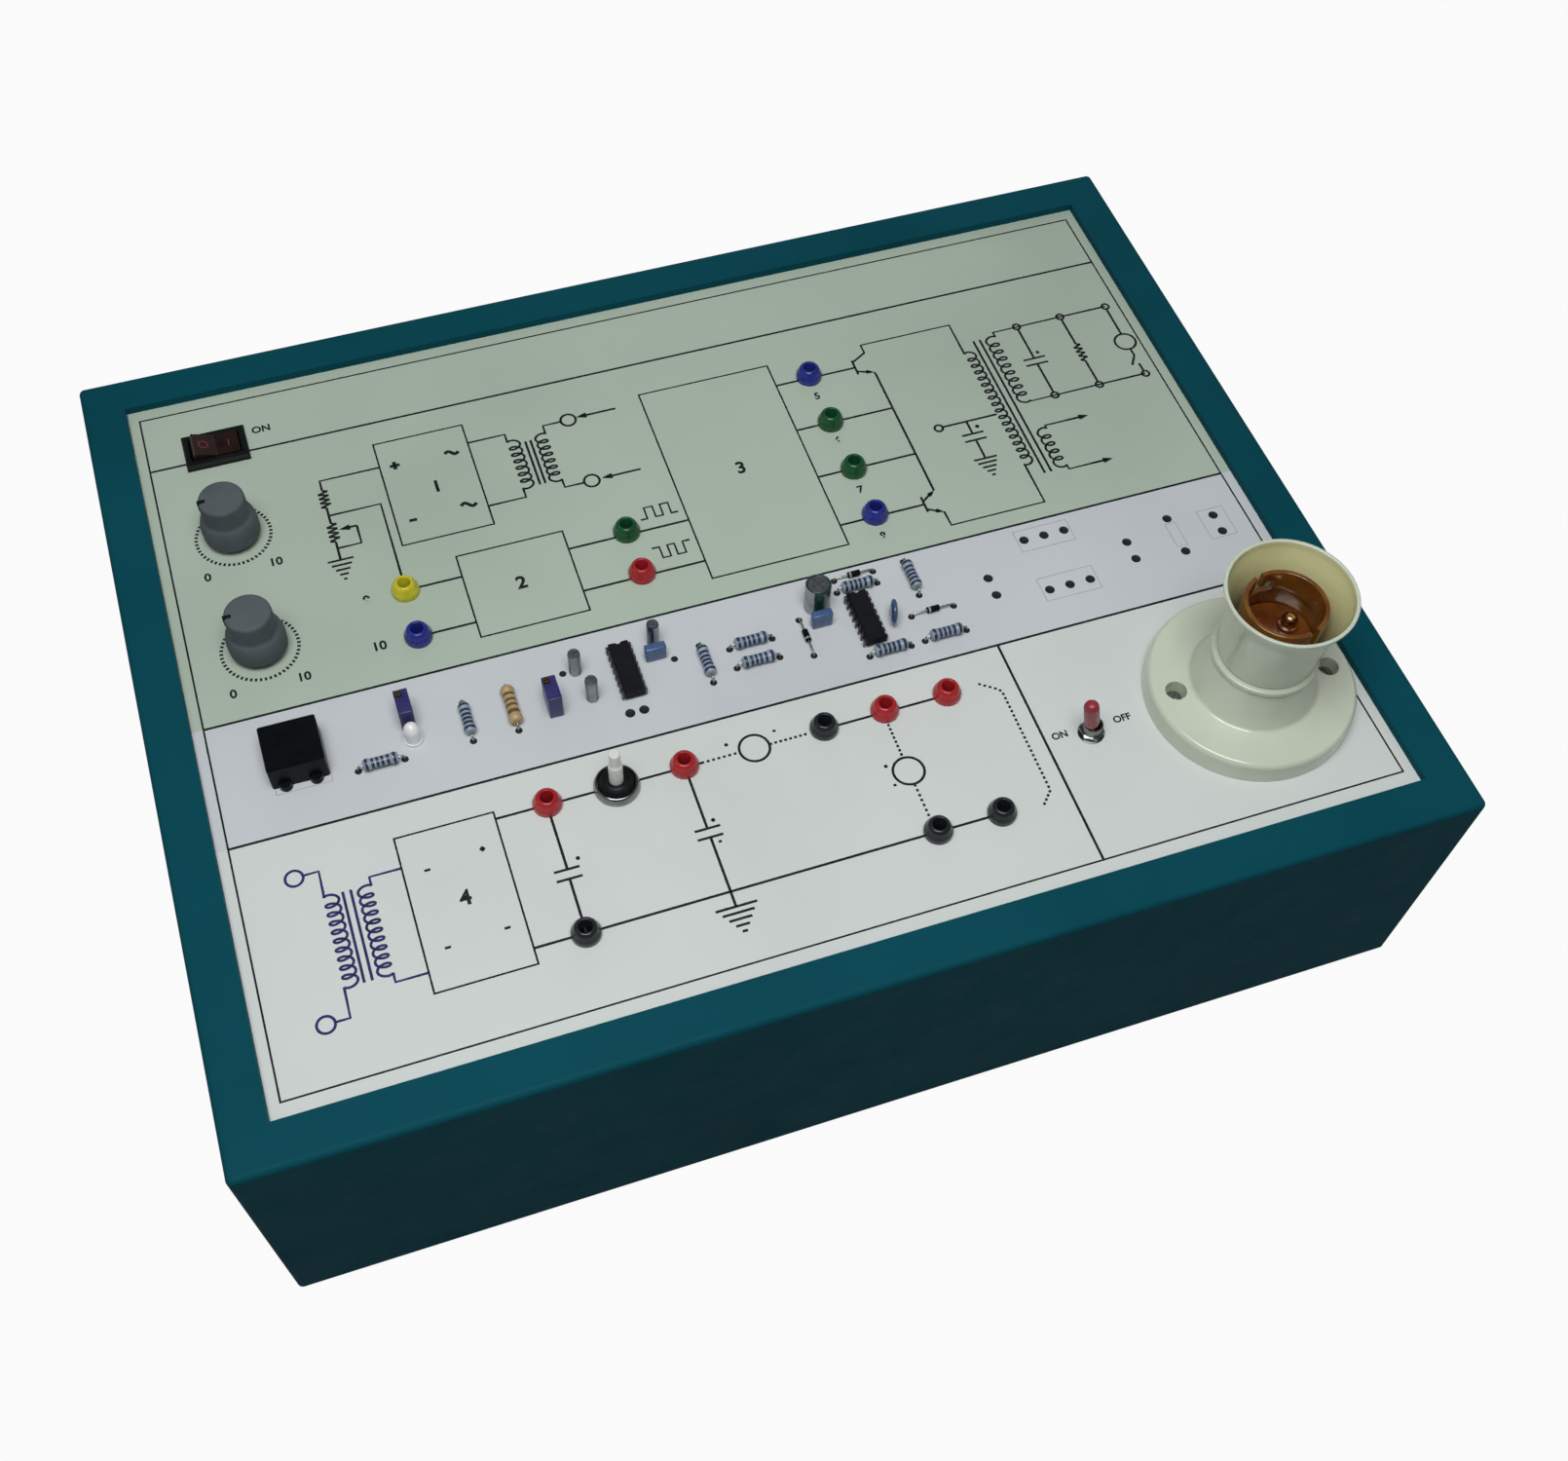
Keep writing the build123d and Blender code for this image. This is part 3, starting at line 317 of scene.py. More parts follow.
@dataclass(frozen=True)
class PrintedSheet(Finish):
    """The panel's printed face, whose ground colour changes at lines across it.

    Attributes:
        grounds: Y of each line and the ground colour behind it, from the front to the back.
        edge: Half the width over which one ground turns into the next.
    """

    grounds: Sequence[tuple[float, Colour]] = ()
    edge: float = 0.15

    def board(self) -> SurfaceBoard:
        """Lays each ground colour over the one in front of it.

        Returns:
            The board.
        """
        board = super().board()
        patches = board.noise(9.0, 3.0)
        height = board.add("SeparateXYZ", Vector=board.place).outputs["Y"]
        for line, colour in self.grounds:
            shades = [(0.3, scaled(colour, 0.92)), (0.5, colour), (0.72, scaled(colour, 1.05))]
            ground = board.ramp(patches, shades)
            step = board.add("MapRange", Value=height, From_Min=(line - self.edge) * MM,
                             From_Max=(line + self.edge) * MM)
            board.lay(step.outputs["Result"], ground)
        return board


@dataclass(frozen=True)
class Swirled(Finish):
    """A moulding in which a second colour shows in streaks.

    Attributes:
        second: The second colour.
        swirl: Streaks for each metre.
    """

    second: Colour = (0.5, 0.5, 0.5)
    swirl: float = 60.0

    def board(self) -> SurfaceBoard:
        """Blends the second colour in where the streaks are.

        Returns:
            The board.
        """
        board = super().board()
        pale = board.ramp(board.noise(self.patch, 2.0), [(0.3, self.second), (0.7, scaled(self.second, 0.7))])
        board.lay(board.span(board.noise(self.swirl, 3.0, (1.0, 1.0, 0.5)), 0.0, 1.0), pale)
        return board


@dataclass(frozen=True)
class Laminated(Finish):
    """A stack of sheets seen from the edge, each so thick in millimetres."""

    sheet: float = 0.5

    def board(self) -> SurfaceBoard:
        """Adds the stack's fine lines along Y.

        Returns:
            The board.
        """
        board = super().board()
        wave = board.add("TexWave", Vector=board.place, Scale=1 / (self.sheet * MM * 6.283), Distortion=0.3)
        wave.bands_direction = "Y"
        board.relief(wave.outputs["Fac"], 0.5, 0.08)
        return board


PAINT = PowderCoat("teal_powder_coat", srgb(13, 74, 86), 0.12, 14.0, (0.36, 0.5), 2600.0, 0.02, shine=0.02)
SHEET = PrintedSheet("printed_sheet", srgb(207, 213, 210), 0.05, 11.0, (0.38, 0.5), 900.0, 0.012, shine=0.2,
                     grounds=((-46.0, srgb(197, 202, 206)), (-2.3, srgb(174, 189, 174))))
INK_BLACK = Finish("ink_black", srgb(24, 30, 34), 0.5, 260.0, (0.4, 0.6), shine=0.2)
INK_BLUE = Finish("ink_blue", srgb(46, 46, 106), 0.4, 260.0, (0.4, 0.6), shine=0.2)
INK_GREY = Finish("ink_grey", srgb(150, 160, 166), 0.3, 260.0, (0.4, 0.6))
# Painted shade: the near-black colour of the discs that stand for the holes' unlit insides.
HOLE_SHADE = Finish("painted_hole_shade", srgb(10, 13, 15), 0.4, 500.0, (0.6, 0.8))
KNOB = Finish("knob_grey_moulding", srgb(84, 92, 96), 0.14, 120.0, (0.5, 0.66), 2200.0, 0.02, shine=0.15)
IVORY_INNER = Finish("ivory_inner", srgb(202, 200, 150), 0.1, 40.0, (0.14, 0.24), 500.0, coat=0.3,
                     through=0.12)
IVORY = Finish("ivory_moulding", srgb(200, 208, 190), 0.05, 40.0, (0.14, 0.24), 500.0, coat=0.3, through=0.12)
PHENOLIC = Swirled("brown_phenolic", srgb(92, 34, 10), 0.5, 160.0, (0.08, 0.2), 420.0, 0.12, coat=1.0,
                   through=0.1, second=srgb(144, 100, 34), swirl=70.0)
INSERT_BROWN = Swirled("brown_insert", srgb(74, 22, 10), 0.5, 160.0, (0.08, 0.2), 420.0, 0.12, coat=1.0,
                       through=0.1, second=srgb(116, 66, 22), swirl=90.0)
BRASS = Finish("contact_brass", srgb(186, 140, 92), 0.3, 200.0, (0.22, 0.4), metal=1.0)
TRIM_SCREW = Finish("trimmer_screw", srgb(112, 96, 70), 0.3, 400.0, (0.3, 0.5), metal=1.0)
PIN_DULL = Finish("dull_pin", srgb(112, 114, 116), 0.3, 300.0, (0.3, 0.5), metal=1.0)
CHROME = Finish("bright_plate", srgb(138, 142, 140), 0.2, 150.0, (0.1, 0.22), metal=1.0)
ZINC = Finish("zinc_plate", srgb(150, 152, 150), 0.25, 70.0, (0.3, 0.5), metal=1.0)
STEEL = Finish("drawn_steel", srgb(150, 150, 152), 0.2, 120.0, (0.2, 0.35), metal=1.0,
               stretch=(1.0, 1.0, 0.1))
TIN = Finish("tinned_wire", srgb(176, 176, 170), 0.2, 300.0, (0.2, 0.4), metal=1.0)
ALUMINIUM = Finish("extruded_aluminium", srgb(168, 170, 172), 0.12, 50.0, metal=1.0, stretch=(1.0, 1.0, 0.05))
RUBBER = Finish("rubber", srgb(24, 24, 25), 0.3, 120.0, (0.7, 0.85), 900.0, 0.05)
BLACK = Finish("black_moulding", srgb(18, 21, 23), 0.3, 160.0, (0.32, 0.5), 1800.0, 0.03, shine=0.15)
RELAY_BLACK = Finish("relay_moulding", srgb(10, 14, 17), 0.3, 120.0, (0.3, 0.42), 1200.0, 0.02, shine=0.1)
ROCKER_BLACK = Finish("rocker_moulding", srgb(36, 22, 17), 0.4, 200.0, (0.2, 0.34), shine=0.2)
WHITE_STEM = Finish("white_stem", srgb(216, 218, 214), 0.08, 200.0, (0.2, 0.35), through=0.1)
SLEEVE_RED = Finish("red_sleeve", srgb(146, 44, 56), 0.2, 220.0, (0.22, 0.4), through=0.1)
CHIP = Finish("chip_moulding", srgb(18, 21, 25), 0.25, 260.0, (0.45, 0.6), 3000.0, 0.03, shine=0.15)
BOARD_GREEN = Finish("board_laminate", srgb(34, 92, 52), 0.15, 90.0, (0.3, 0.45), 1800.0)
TRIM_BLUE = Finish("trimmer_blue", srgb(46, 44, 100), 0.15, 260.0, (0.25, 0.4))
FILM_BLUE = Finish("film_blue", srgb(66, 92, 134), 0.15, 260.0, (0.2, 0.35), coat=0.2)
DISC_BLUE = Finish("disc_blue", srgb(56, 80, 122), 0.2, 260.0, (0.2, 0.35), coat=0.2)
RES_BLUE = Finish("resistor_blue", srgb(138, 154, 170), 0.12, 300.0, (0.25, 0.4))
RES_TAN = Finish("resistor_tan", srgb(176, 152, 108), 0.12, 300.0, (0.25, 0.4))
BAND_DARK = Finish("band_dark", srgb(40, 48, 74), 0.2, 300.0, (0.25, 0.4))
BAND_BROWN = Finish("band_brown", srgb(104, 78, 48), 0.2, 300.0, (0.25, 0.4))
BAND_PALE = Finish("band_pale", srgb(150, 156, 158), 0.2, 300.0, (0.25, 0.4))
CAN_GREY = Finish("can_sleeve_grey", srgb(72, 84, 92), 0.2, 260.0, (0.15, 0.3), coat=0.3)
CAN_GREEN = Finish("can_sleeve_green", srgb(24, 58, 50), 0.2, 260.0, (0.15, 0.3), coat=0.3)
CAN_NAVY = Finish("can_sleeve_navy", srgb(32, 42, 70), 0.2, 260.0, (0.15, 0.3), coat=0.3)
CAN_TOP = Finish("can_top", srgb(134, 140, 142), 0.15, 260.0, metal=1.0)
LED_CLEAR = Finish("clear_moulding", srgb(250, 253, 255), 0.02, 200.0, (0.06, 0.14), clear=0.15, through=0.4)
LED_CHIP = Finish("led_reflector", srgb(236, 236, 232), 0.05, 200.0, (0.2, 0.3))
WOUND = Finish("winding_wrap", srgb(196, 170, 84), 0.2, 60.0, (0.25, 0.4), 500.0, 0.05)
CORE = Laminated("core_laminations", srgb(70, 70, 72), 0.3, 40.0, (0.4, 0.6), metal=0.6)
SOCKET_FINISHES = {
    "yellow": Finish("socket_yellow", srgb(196, 190, 44), 0.12, 220.0, (0.12, 0.26), through=0.1),
    "blue": Finish("socket_blue", srgb(36, 46, 132), 0.15, 220.0, (0.12, 0.26)),
    "green": Finish("socket_green", srgb(22, 78, 44), 0.15, 220.0, (0.12, 0.26)),
    "red": Finish("socket_red", srgb(168, 36, 42), 0.15, 220.0, (0.12, 0.26)),
    "black": Finish("socket_black", srgb(30, 35, 39), 0.2, 220.0, (0.12, 0.26)),
}
CAD_FINISHES: tuple[tuple[Finish, str], ...] = (
    (PAINT, "case_shell base_plate"),
    (SHEET, "front_panel"),
    (ZINC, "panel_rails board_spacers frequency_pot_body reference_pot_body toggle_body"),
    (BLACK, "breaker_body fuse_holder inlet_housing power_switch_housing"),
    (PIN_DULL, "chip_pins"),
    (CHIP, "chips power_semiconductors"),
    (BOARD_GREEN, "control_board"),
    (CAN_NAVY, "filter_capacitors"),
    (STEEL, "frequency_pot_shaft reference_pot_shaft lamp_spring_left lamp_spring_right"),
    (ALUMINIUM, "heat_sink"),
    (BRASS, "mains_terminals socket_tags"),
    (ROCKER_BLACK, "power_rocker"),
    (RELAY_BLACK, "relay_block"),
    (CHROME, "toggle_lever"),
    (WOUND, "transformer_coils"),
    (CORE, "transformer_cores"),
    (TRIM_SCREW, "trimmer_screw_left trimmer_screw_right"),
)


# Shaping


def deselect() -> None:
    """Leaves edit mode and deselects every object."""
    if bpy.context.mode != "OBJECT":
        bpy.ops.object.mode_set(mode="OBJECT")
    bpy.ops.object.select_all(action="DESELECT")


@contextmanager
def editing(piece: Piece) -> Iterator[None]:
    """Holds one piece in edit mode.

    Args:
        piece: The piece.
    """
    deselect()
    piece.select_set(True)
    bpy.context.view_layer.objects.active = piece
    bpy.ops.object.mode_set(mode="EDIT")
    yield
    bpy.ops.object.mode_set(mode="OBJECT")


def pick(piece: Piece, test: Callable[[int, Vector], bool]) -> None:
    """Selects vertices of the piece being edited.

    Args:
        piece: The piece, in edit mode.
        test: Says for a vertex's number and place whether it is picked.
    """
    bpy.ops.mesh.select_mode(type="VERT")
    bpy.ops.mesh.select_all(action="DESELECT")
    mesh = bmesh.from_edit_mesh(piece.data)
    for vertex in mesh.verts:
        if test(vertex.index, vertex.co):
            vertex.select_set(True)
    mesh.select_flush(True)
    bmesh.update_edit_mesh(piece.data)


def pull(rise: float, close: bool = False) -> None:
    """Extrudes what is picked along Z.

    Args:
        rise: How far, in millimetres.
        close: True to close the end in a point.
    """
    bpy.ops.mesh.extrude_region_move(TRANSFORM_OT_translate={"value": (0, 0, rise * MM)})
    if close:
        bpy.ops.mesh.merge(type="CENTER")


def widen(share: float, level: float) -> None:
    """Scales what is picked across the Z axis, at a height in millimetres."""
    bpy.ops.transform.resize(value=(share, share, 1), center_override=(0, 0, level * MM))


def close_up(piece: Piece, smooth: float = 40.0) -> Piece:
    """Merges doubles, turns the faces outwards and smooths what isn't an edge.

    Args:
        piece: The piece.
        smooth: Sharpest angle in degrees that still looks round.

    Returns:
        The piece.
    """
    with editing(piece):
        bpy.ops.mesh.select_all(action="SELECT")
        bpy.ops.mesh.remove_doubles(threshold=0.000002)
        bpy.ops.mesh.normals_make_consistent(inside=False)
    bpy.ops.object.shade_smooth_by_angle(angle=math.radians(smooth))
    return piece


def eased(corners: Corners, steps: int = 4) -> list[Point]:
    """Rounds the corners of an open profile.

    Args:
        corners: Radius and height of each corner, and its set-back where it is rounded.
        steps: Segments in each rounding.

    Returns:
        The rounded profile's points.
    """
    corners = list(corners)
    points: list[Point] = []
    for index, (radius, height, *back) in enumerate(corners):
        if not back or index in (0, len(corners) - 1):
            points.append((radius, height))
            continue
        here = Vector((radius, height))
        before = Vector(corners[index - 1][:2]) - here
        after = Vector(corners[index + 1][:2]) - here
        room = min(back[0], 0.49 * before.length, 0.49 * after.length)
        start = here + before.normalized() * room
        end = here + after.normalized() * room
        for step in range(steps + 1):
            share = step / steps
            spot = start * (1 - share) ** 2 + here * 2 * share * (1 - share) + end * share**2
            points.append((spot.x, spot.y))
    return points


def turned(name: str, segments: int, corners: Corners, steps: int = 4, ring: bool = False,
           smooth: float = 40.0) -> Piece:
    """Shapes a turned piece on the Z axis by extruding a circle along a rounded profile.

    Args:
        name: Name of the piece.
        segments: Sides of the circle.
        corners: The profile's corners, as for eased. A radius of 0 at either end closes it in a point.
        steps: Segments in each rounding.
        ring: True for a closed profile, which is bridged from its last ring to its first.
        smooth: Sharpest angle in degrees that still looks round.

    Returns:
        The piece, at the origin.
    """
    profile = eased(corners, steps)
    rings = [spot for spot in profile if spot[0] > 0]
    radius, height = rings[0]
    deselect()
    bpy.ops.mesh.primitive_circle_add(vertices=segments, radius=radius * MM, fill_type="NOTHING",
                                      location=(0, 0, 0))
    piece = bpy.context.active_object
    piece.name = name
    with editing(piece):
        bpy.ops.mesh.select_mode(type="VERT")
        bpy.ops.mesh.select_all(action="SELECT")
        bpy.ops.transform.translate(value=(0, 0, height * MM))
        for next_radius, next_height in rings[1:]:
            pull(next_height - height)
            widen(next_radius / radius, next_height)
            radius, height = next_radius, next_height
        if ring:
            last = (len(rings) - 1) * segments
            pick(piece, lambda number, _: number < segments or number >= last)
            bpy.ops.mesh.bridge_edge_loops()
        if profile[-1][0] == 0:
            pull(profile[-1][1] - height, close=True)
        if profile[0][0] == 0:
            pick(piece, lambda number, _: number < segments)
            pull(profile[0][1] - rings[0][1], close=True)
    return close_up(piece, smooth)


def drum(radius: float, low: float, high: float, segments: int = 32) -> Piece:
    """A plain cylinder, for cutting."""
    return turned("drum", segments, [(0, low), (radius, low), (radius, high), (0, high)])


def brick(name: str, low: Sequence[float], high: Sequence[float], bevel: float = 0.0,
          segments: int = 2) -> Piece:
    """Shapes a block between two corners and bevels its edges.

    Args:
        name: Name of the piece.
        low: Its lowest corner.
        high: Its highest corner.
        bevel: Width of the bevel.
        segments: Steps of the bevel.

    Returns:
        The piece.
    """
    deselect()
    bpy.ops.mesh.primitive_cube_add(size=1, location=(0, 0, 0))
    piece = bpy.context.active_object
    piece.name = name
    with editing(piece):
        bpy.ops.mesh.select_all(action="SELECT")
        size = [(top - bottom) * MM for bottom, top in zip(low, high)]
        bpy.ops.transform.resize(value=size, center_override=(0, 0, 0))
        bpy.ops.transform.translate(value=[(top + bottom) / 2 * MM for bottom, top in zip(low, high)])
        if bevel > 0:
            bpy.ops.mesh.bevel(offset=bevel * MM, segments=segments, affect="EDGES")
    return close_up(piece, 30.0)


class Cut(Enum):
    """What is kept when a piece is cut with another shape."""

    OUTSIDE = "DIFFERENCE"
    SHARED = "INTERSECT"


def carve(piece: Piece, *tools: Piece, how: Cut = Cut.OUTSIDE, smooth: float = 40.0) -> Piece:
    """Cuts a piece with other shapes, which are used up.

    Args:
        piece: The piece to cut.
        tools: The cutting shapes.
        how: What is kept.
        smooth: Sharpest angle in degrees that still looks round.

    Returns:
        The piece.
    """
    for tool in tools:
        deselect()
        bpy.context.view_layer.objects.active = piece
        modifier = piece.modifiers.new("cut", "BOOLEAN")
        modifier.operation = how.value
        modifier.solver = "EXACT"
        modifier.object = tool
        bpy.ops.object.modifier_apply(modifier=modifier.name)
        bpy.data.objects.remove(tool)
    return close_up(piece, smooth)


def nut(name: str, across: float, top: float, bore: float, chamfer: float = 0.4) -> Piece:
    """Shapes a hexagon nut with a chamfered top.

    Args:
        name: Name of the piece.
        across: Its width across flats.
        top: Its height.
        bore: Radius of its hole.
        chamfer: Height of the chamfer.

    Returns:
        The nut, at the origin.
    """
    corner = across / math.sqrt(3)
    piece = turned(name, 6, [(0, 0), (corner, 0), (corner, top)], smooth=20.0)
    with editing(piece):
        pick(piece, lambda _, spot: spot.z > (top - 0.001) * MM)
        bpy.ops.mesh.edge_face_add()
    cone = turned("cone", 48, [(0, 0), (corner * 1.05, 0), (corner * 1.05, top - chamfer),
                               (across * 0.48, top), (0, top)])
    carve(piece, cone, how=Cut.SHARED, smooth=20.0)
    return carve(piece, drum(bore, -1.0, 3.0, 40), smooth=25.0)


def spin(axis: str, degrees: float) -> Matrix:
    """A rotation about one axis."""
    return Matrix.Rotation(math.radians(degrees), 4, axis)


def move(piece: Piece, x: float = 0.0, y: float = 0.0, z: float = 0.0, turn: Matrix | None = None) -> Piece:
    """Moves a piece in its mesh, after a turn about the origin."""
    piece.data.transform(Matrix.Translation(Vector((x, y, z)) * MM) @ (turn or Matrix.Identity(4)))
    return piece


def copies(model: Piece, places: Iterable[Sequence]) -> list[Piece]:
    """Copies a model, which is used up.

    Args:
        model: The model.
        places: What move takes for each copy.

    Returns:
        The copies, each with its own mesh.
    """
    made = []
    for place in places:
        copy = model.copy()
        copy.data = model.data.copy()
        bpy.context.scene.collection.objects.link(copy)
        made.append(move(copy, *place))
    bpy.data.objects.remove(model)
    return made


def merged(name: str, pieces: Sequence[Piece]) -> Piece:
    """Joins pieces into one.

    Args:
        name: Name of the whole.
        pieces: The pieces.

    Returns:
        The whole.
    """
    deselect()
    for piece in pieces:
        piece.select_set(True)
    bpy.context.view_layer.objects.active = pieces[0]
    if len(pieces) > 1:
        bpy.ops.object.join()
    pieces[0].name = name
    return pieces[0]


def swept(name: str, lines: Iterable[tuple[Corners, bool]], radius: float, fineness: int) -> Piece:
    """Makes wires along lines.

    Args:
        name: Name of the piece.
        lines: Points of each line, and whether it is closed.
        radius: Radius of the wires.
        fineness: Fineness of their round section.

    Returns:
        The wires as one mesh.
    """
    curve = bpy.data.curves.new(name, "CURVE")
    curve.dimensions = "3D"
    curve.bevel_depth = radius * MM
    curve.bevel_resolution = fineness
    curve.use_fill_caps = True
    for points, closed in lines:
        spline = curve.splines.new("POLY")
        spline.points.add(len(points) - 1)
        for point, (x, y, *z) in zip(spline.points, points):
            point.co = (x * MM, y * MM, (z[0] if z else 0.0) * MM, 1.0)
        spline.use_cyclic_u = closed
    piece = bpy.data.objects.new(name, curve)
    bpy.context.scene.collection.objects.link(piece)
    merged(name, [piece])
    bpy.ops.object.convert(target="MESH")
    return bpy.context.active_object


def dress(piece: Piece, finish: Finish) -> Piece:
    """Gives a whole piece one finish.

    Args:
        piece: The piece.
        finish: Its finish.

    Returns:
        The piece.
    """
    piece.data.materials.clear()
    piece.data.materials.append(finish.material())
    return piece


def paint_where(piece: Piece, finish: Finish, test: Callable[[Vector], bool], inward: bool = False) -> None:
    """Gives some faces another finish.

    Args:
        piece: The piece, still in the place where it was shaped.
        finish: The finish of those faces.
        test: Says for a face's middle, in millimetres, whether it takes the finish.
        inward: True to paint only faces that look towards the Z axis.
    """
    piece.data.materials.append(finish.material())
    number = len(piece.data.materials) - 1
    for face in piece.data.polygons:
        if test(face.center / MM) and (not inward or face.normal.xy.dot(face.center.xy) < 0):
            face.material_index = number


def mount(piece: Piece, finish: Finish | None = None, node: str = "", body: str = "case") -> None:
    """Fixes a finished piece to a body of the frame.

    Args:
        piece: The piece, in place.
        finish: Its finish, unless it is dressed.
        node: The node that it replaces.
        body: The body it moves with.
    """
    if finish:
        dress(piece, finish)
    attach(piece, body)
    if node:
        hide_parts(node)
    LOG.info("made %s on %s", piece.name, body)


# Printing


@dataclass
class Ink:
    """Printed lines of one colour, raised a hair above the panel.

    Attributes:
        name: Name of the piece.
        finish: The ink.
        width: Width of the lines.
        lines: The lines drawn so far, each with whether it is closed.
    """

    name: str
    finish: Finish
    width: float = 0.85
    lines: list[tuple[list[Point], bool]] = field(default_factory=list)

    def line(self, *points: Point, closed: bool = False) -> None:
        """Draws a line through points."""
        self.lines.append((list(points), closed))

    def routes(self, *routes: Sequence[float]) -> None:
        """Draws wires that only run along X and Y.

        Args:
            routes: The start's X and Y of each wire, then by turns the X and the Y that it goes to.
        """
        for start_x, start_y, *stops in routes:
            spot = [start_x, start_y]
            points = [tuple(spot)]
            for number, stop in enumerate(stops):
                if spot[number % 2] != stop:
                    spot[number % 2] = stop
                    points.append(tuple(spot))
            self.line(*points)

    def box(self, left: float, low: float, right: float, high: float) -> None:
        """Draws an upright rectangle."""
        self.line((left, low), (right, low), (right, high), (left, high), closed=True)

    def circle(self, x: float, y: float, radius: float, sides: int = 36) -> None:
        """Draws a circle."""
        ends = [around(360 * i / sides, radius) for i in range(sides)]
        self.line(*[(x + out, y + up) for out, up in ends], closed=True)

    def dotted_ring(self, x: float, y: float, radius: float, count: int) -> None:
        """Draws a ring of short dashes.

        Args:
            x: X of its centre.
            y: Y of its centre.
            radius: Its radius.
            count: How many dashes.
        """
        for i in range(count):
            ends = [around(360 * (i + part) / count, radius) for part in (0.0, 0.5)]
            self.line(*[(x + out, y + up) for out, up in ends])

    def dashes(self, *points: Point, dash: float = 0.9, gap: float = 0.8) -> None:
        """Draws short dashes along a line.

        Args:
            points: Corners of the line.
            dash: Length of a dash.
            gap: Space between dashes.
        """
        for start, end in zip(map(Vector, points), map(Vector, points[1:])):
            run = end - start
            count = max(1, round(run.length / (dash + gap)))
            for i in range(count):
                spot = start + run * (i / count)
                self.line(tuple(spot), tuple(spot + run.normalized() * dash))

    def winding(self, x: float, low: float, high: float, side: int, loops: int, reach: float) -> None:
        """Draws a transformer winding as a row of loops.

        Args:
            x: The side that the wires join on.
            low: Its lower end.
            high: Its upper end.
            side: 1 if the loops reach to +X from x, or -1.
            loops: How many loops.
            reach: Width of the loops.
        """
        steps = 14
        pitch = (high - low) / loops
        turns = [(i / steps, 2 * math.pi * i / steps) for i in range(loops * steps + 1)]
        self.line(*[(x + side * reach * (0.5 - 0.5 * math.cos(turn)),
                     low + pitch * (i - 0.42 * math.sin(turn))) for i, turn in turns])

    def resistor(self, x: float, low: float, high: float, reach: float = 1.7, teeth: int = 4) -> None:
        """Draws an upright zigzag.

        Args:
            x: X of its axis.
            low: Its lower end.
            high: Its upper end.
            reach: How far its corners stand out.
            teeth: Corners on each side.
        """
        count = 2 * teeth
        points = [(x + (reach if i % 2 else -reach), low + (high - low) * (i + 0.5) / count)
                  for i in range(count)]
        for ends in zip([(x, low), *points], [*points, (x, high)]):
            self.line(*ends)

    def core(self, first: float, second: float, low: float, high: float) -> None:
        """Draws the two lines of a transformer's core."""
        self.routes((first, low, first, high), (second, low, second, high))

    def bars(self, x: float, *rows: Point) -> None:
        """Draws level bars about an upright line, each with its Y and width."""
        for y, width in rows:
            self.line((x - width / 2, y), (x + width / 2, y))

    def capacitor(self, x: float, upper: float, lower: float, half: float) -> None:
        """Draws the two plates of a capacitor."""
        self.bars(x, (upper, 2 * half), (lower, 2 * half))

    def earth(self, x: float, top: float, widths: Sequence[float], pitch: float) -> None:
        """Draws an earth sign."""
        self.bars(x, *[(top - i * pitch, width) for i, width in enumerate(widths)])

    def minus(self, x: float, y: float, size: float) -> None:
        """Draws a minus sign."""
        self.bars(x, (y, size))

    def plus(self, x: float, y: float, size: float) -> None:
        """Draws a plus sign."""
        self.minus(x, y, size)
        self.line((x, y - size / 2), (x, y + size / 2))

    def swing(self, x: float, y: float, size: float) -> None:
        """Draws the wave of alternating current."""
        self.line(*[(x + size * (i / 12 - 0.5), y + size * 0.18 * math.sin(2 * math.pi * i / 12))
                    for i in range(13)])

    def arrow(self, tip: Point, tail: Point, head: float = 2.4) -> None:
        """Draws a line with a filled head at its tip.

        Args:
            tip: Where it points.
            tail: Its other end.
            head: Size of the head.
        """
        end = Vector(tip)
        along = (end - Vector(tail)).normalized() * head
        across = Vector((-along.y, along.x)) * 0.5
        self.line(tail, tuple(end - along * 0.6))
        for share in (0.15, 0.3, 0.45, 0.6, 0.75, 0.9):
            base = end - along * 1.5 * share
            self.line(tuple(base - across * share), tuple(base + across * share))

    def make(self, thick: float = 0.05, level: float = PANEL_Z) -> Piece:
        """Makes one mesh of all the lines.

        Args:
            thick: Height of the ink above the panel.
            level: Height of the panel's face.

        Returns:
            The printed piece.
        """
        piece = swept(self.name, self.lines, self.width / 2, 1)
        flat = Matrix.Diagonal((1, 1, 2 * thick / self.width, 1))
        return dress(move(piece, 0, 0, level, flat), self.finish)


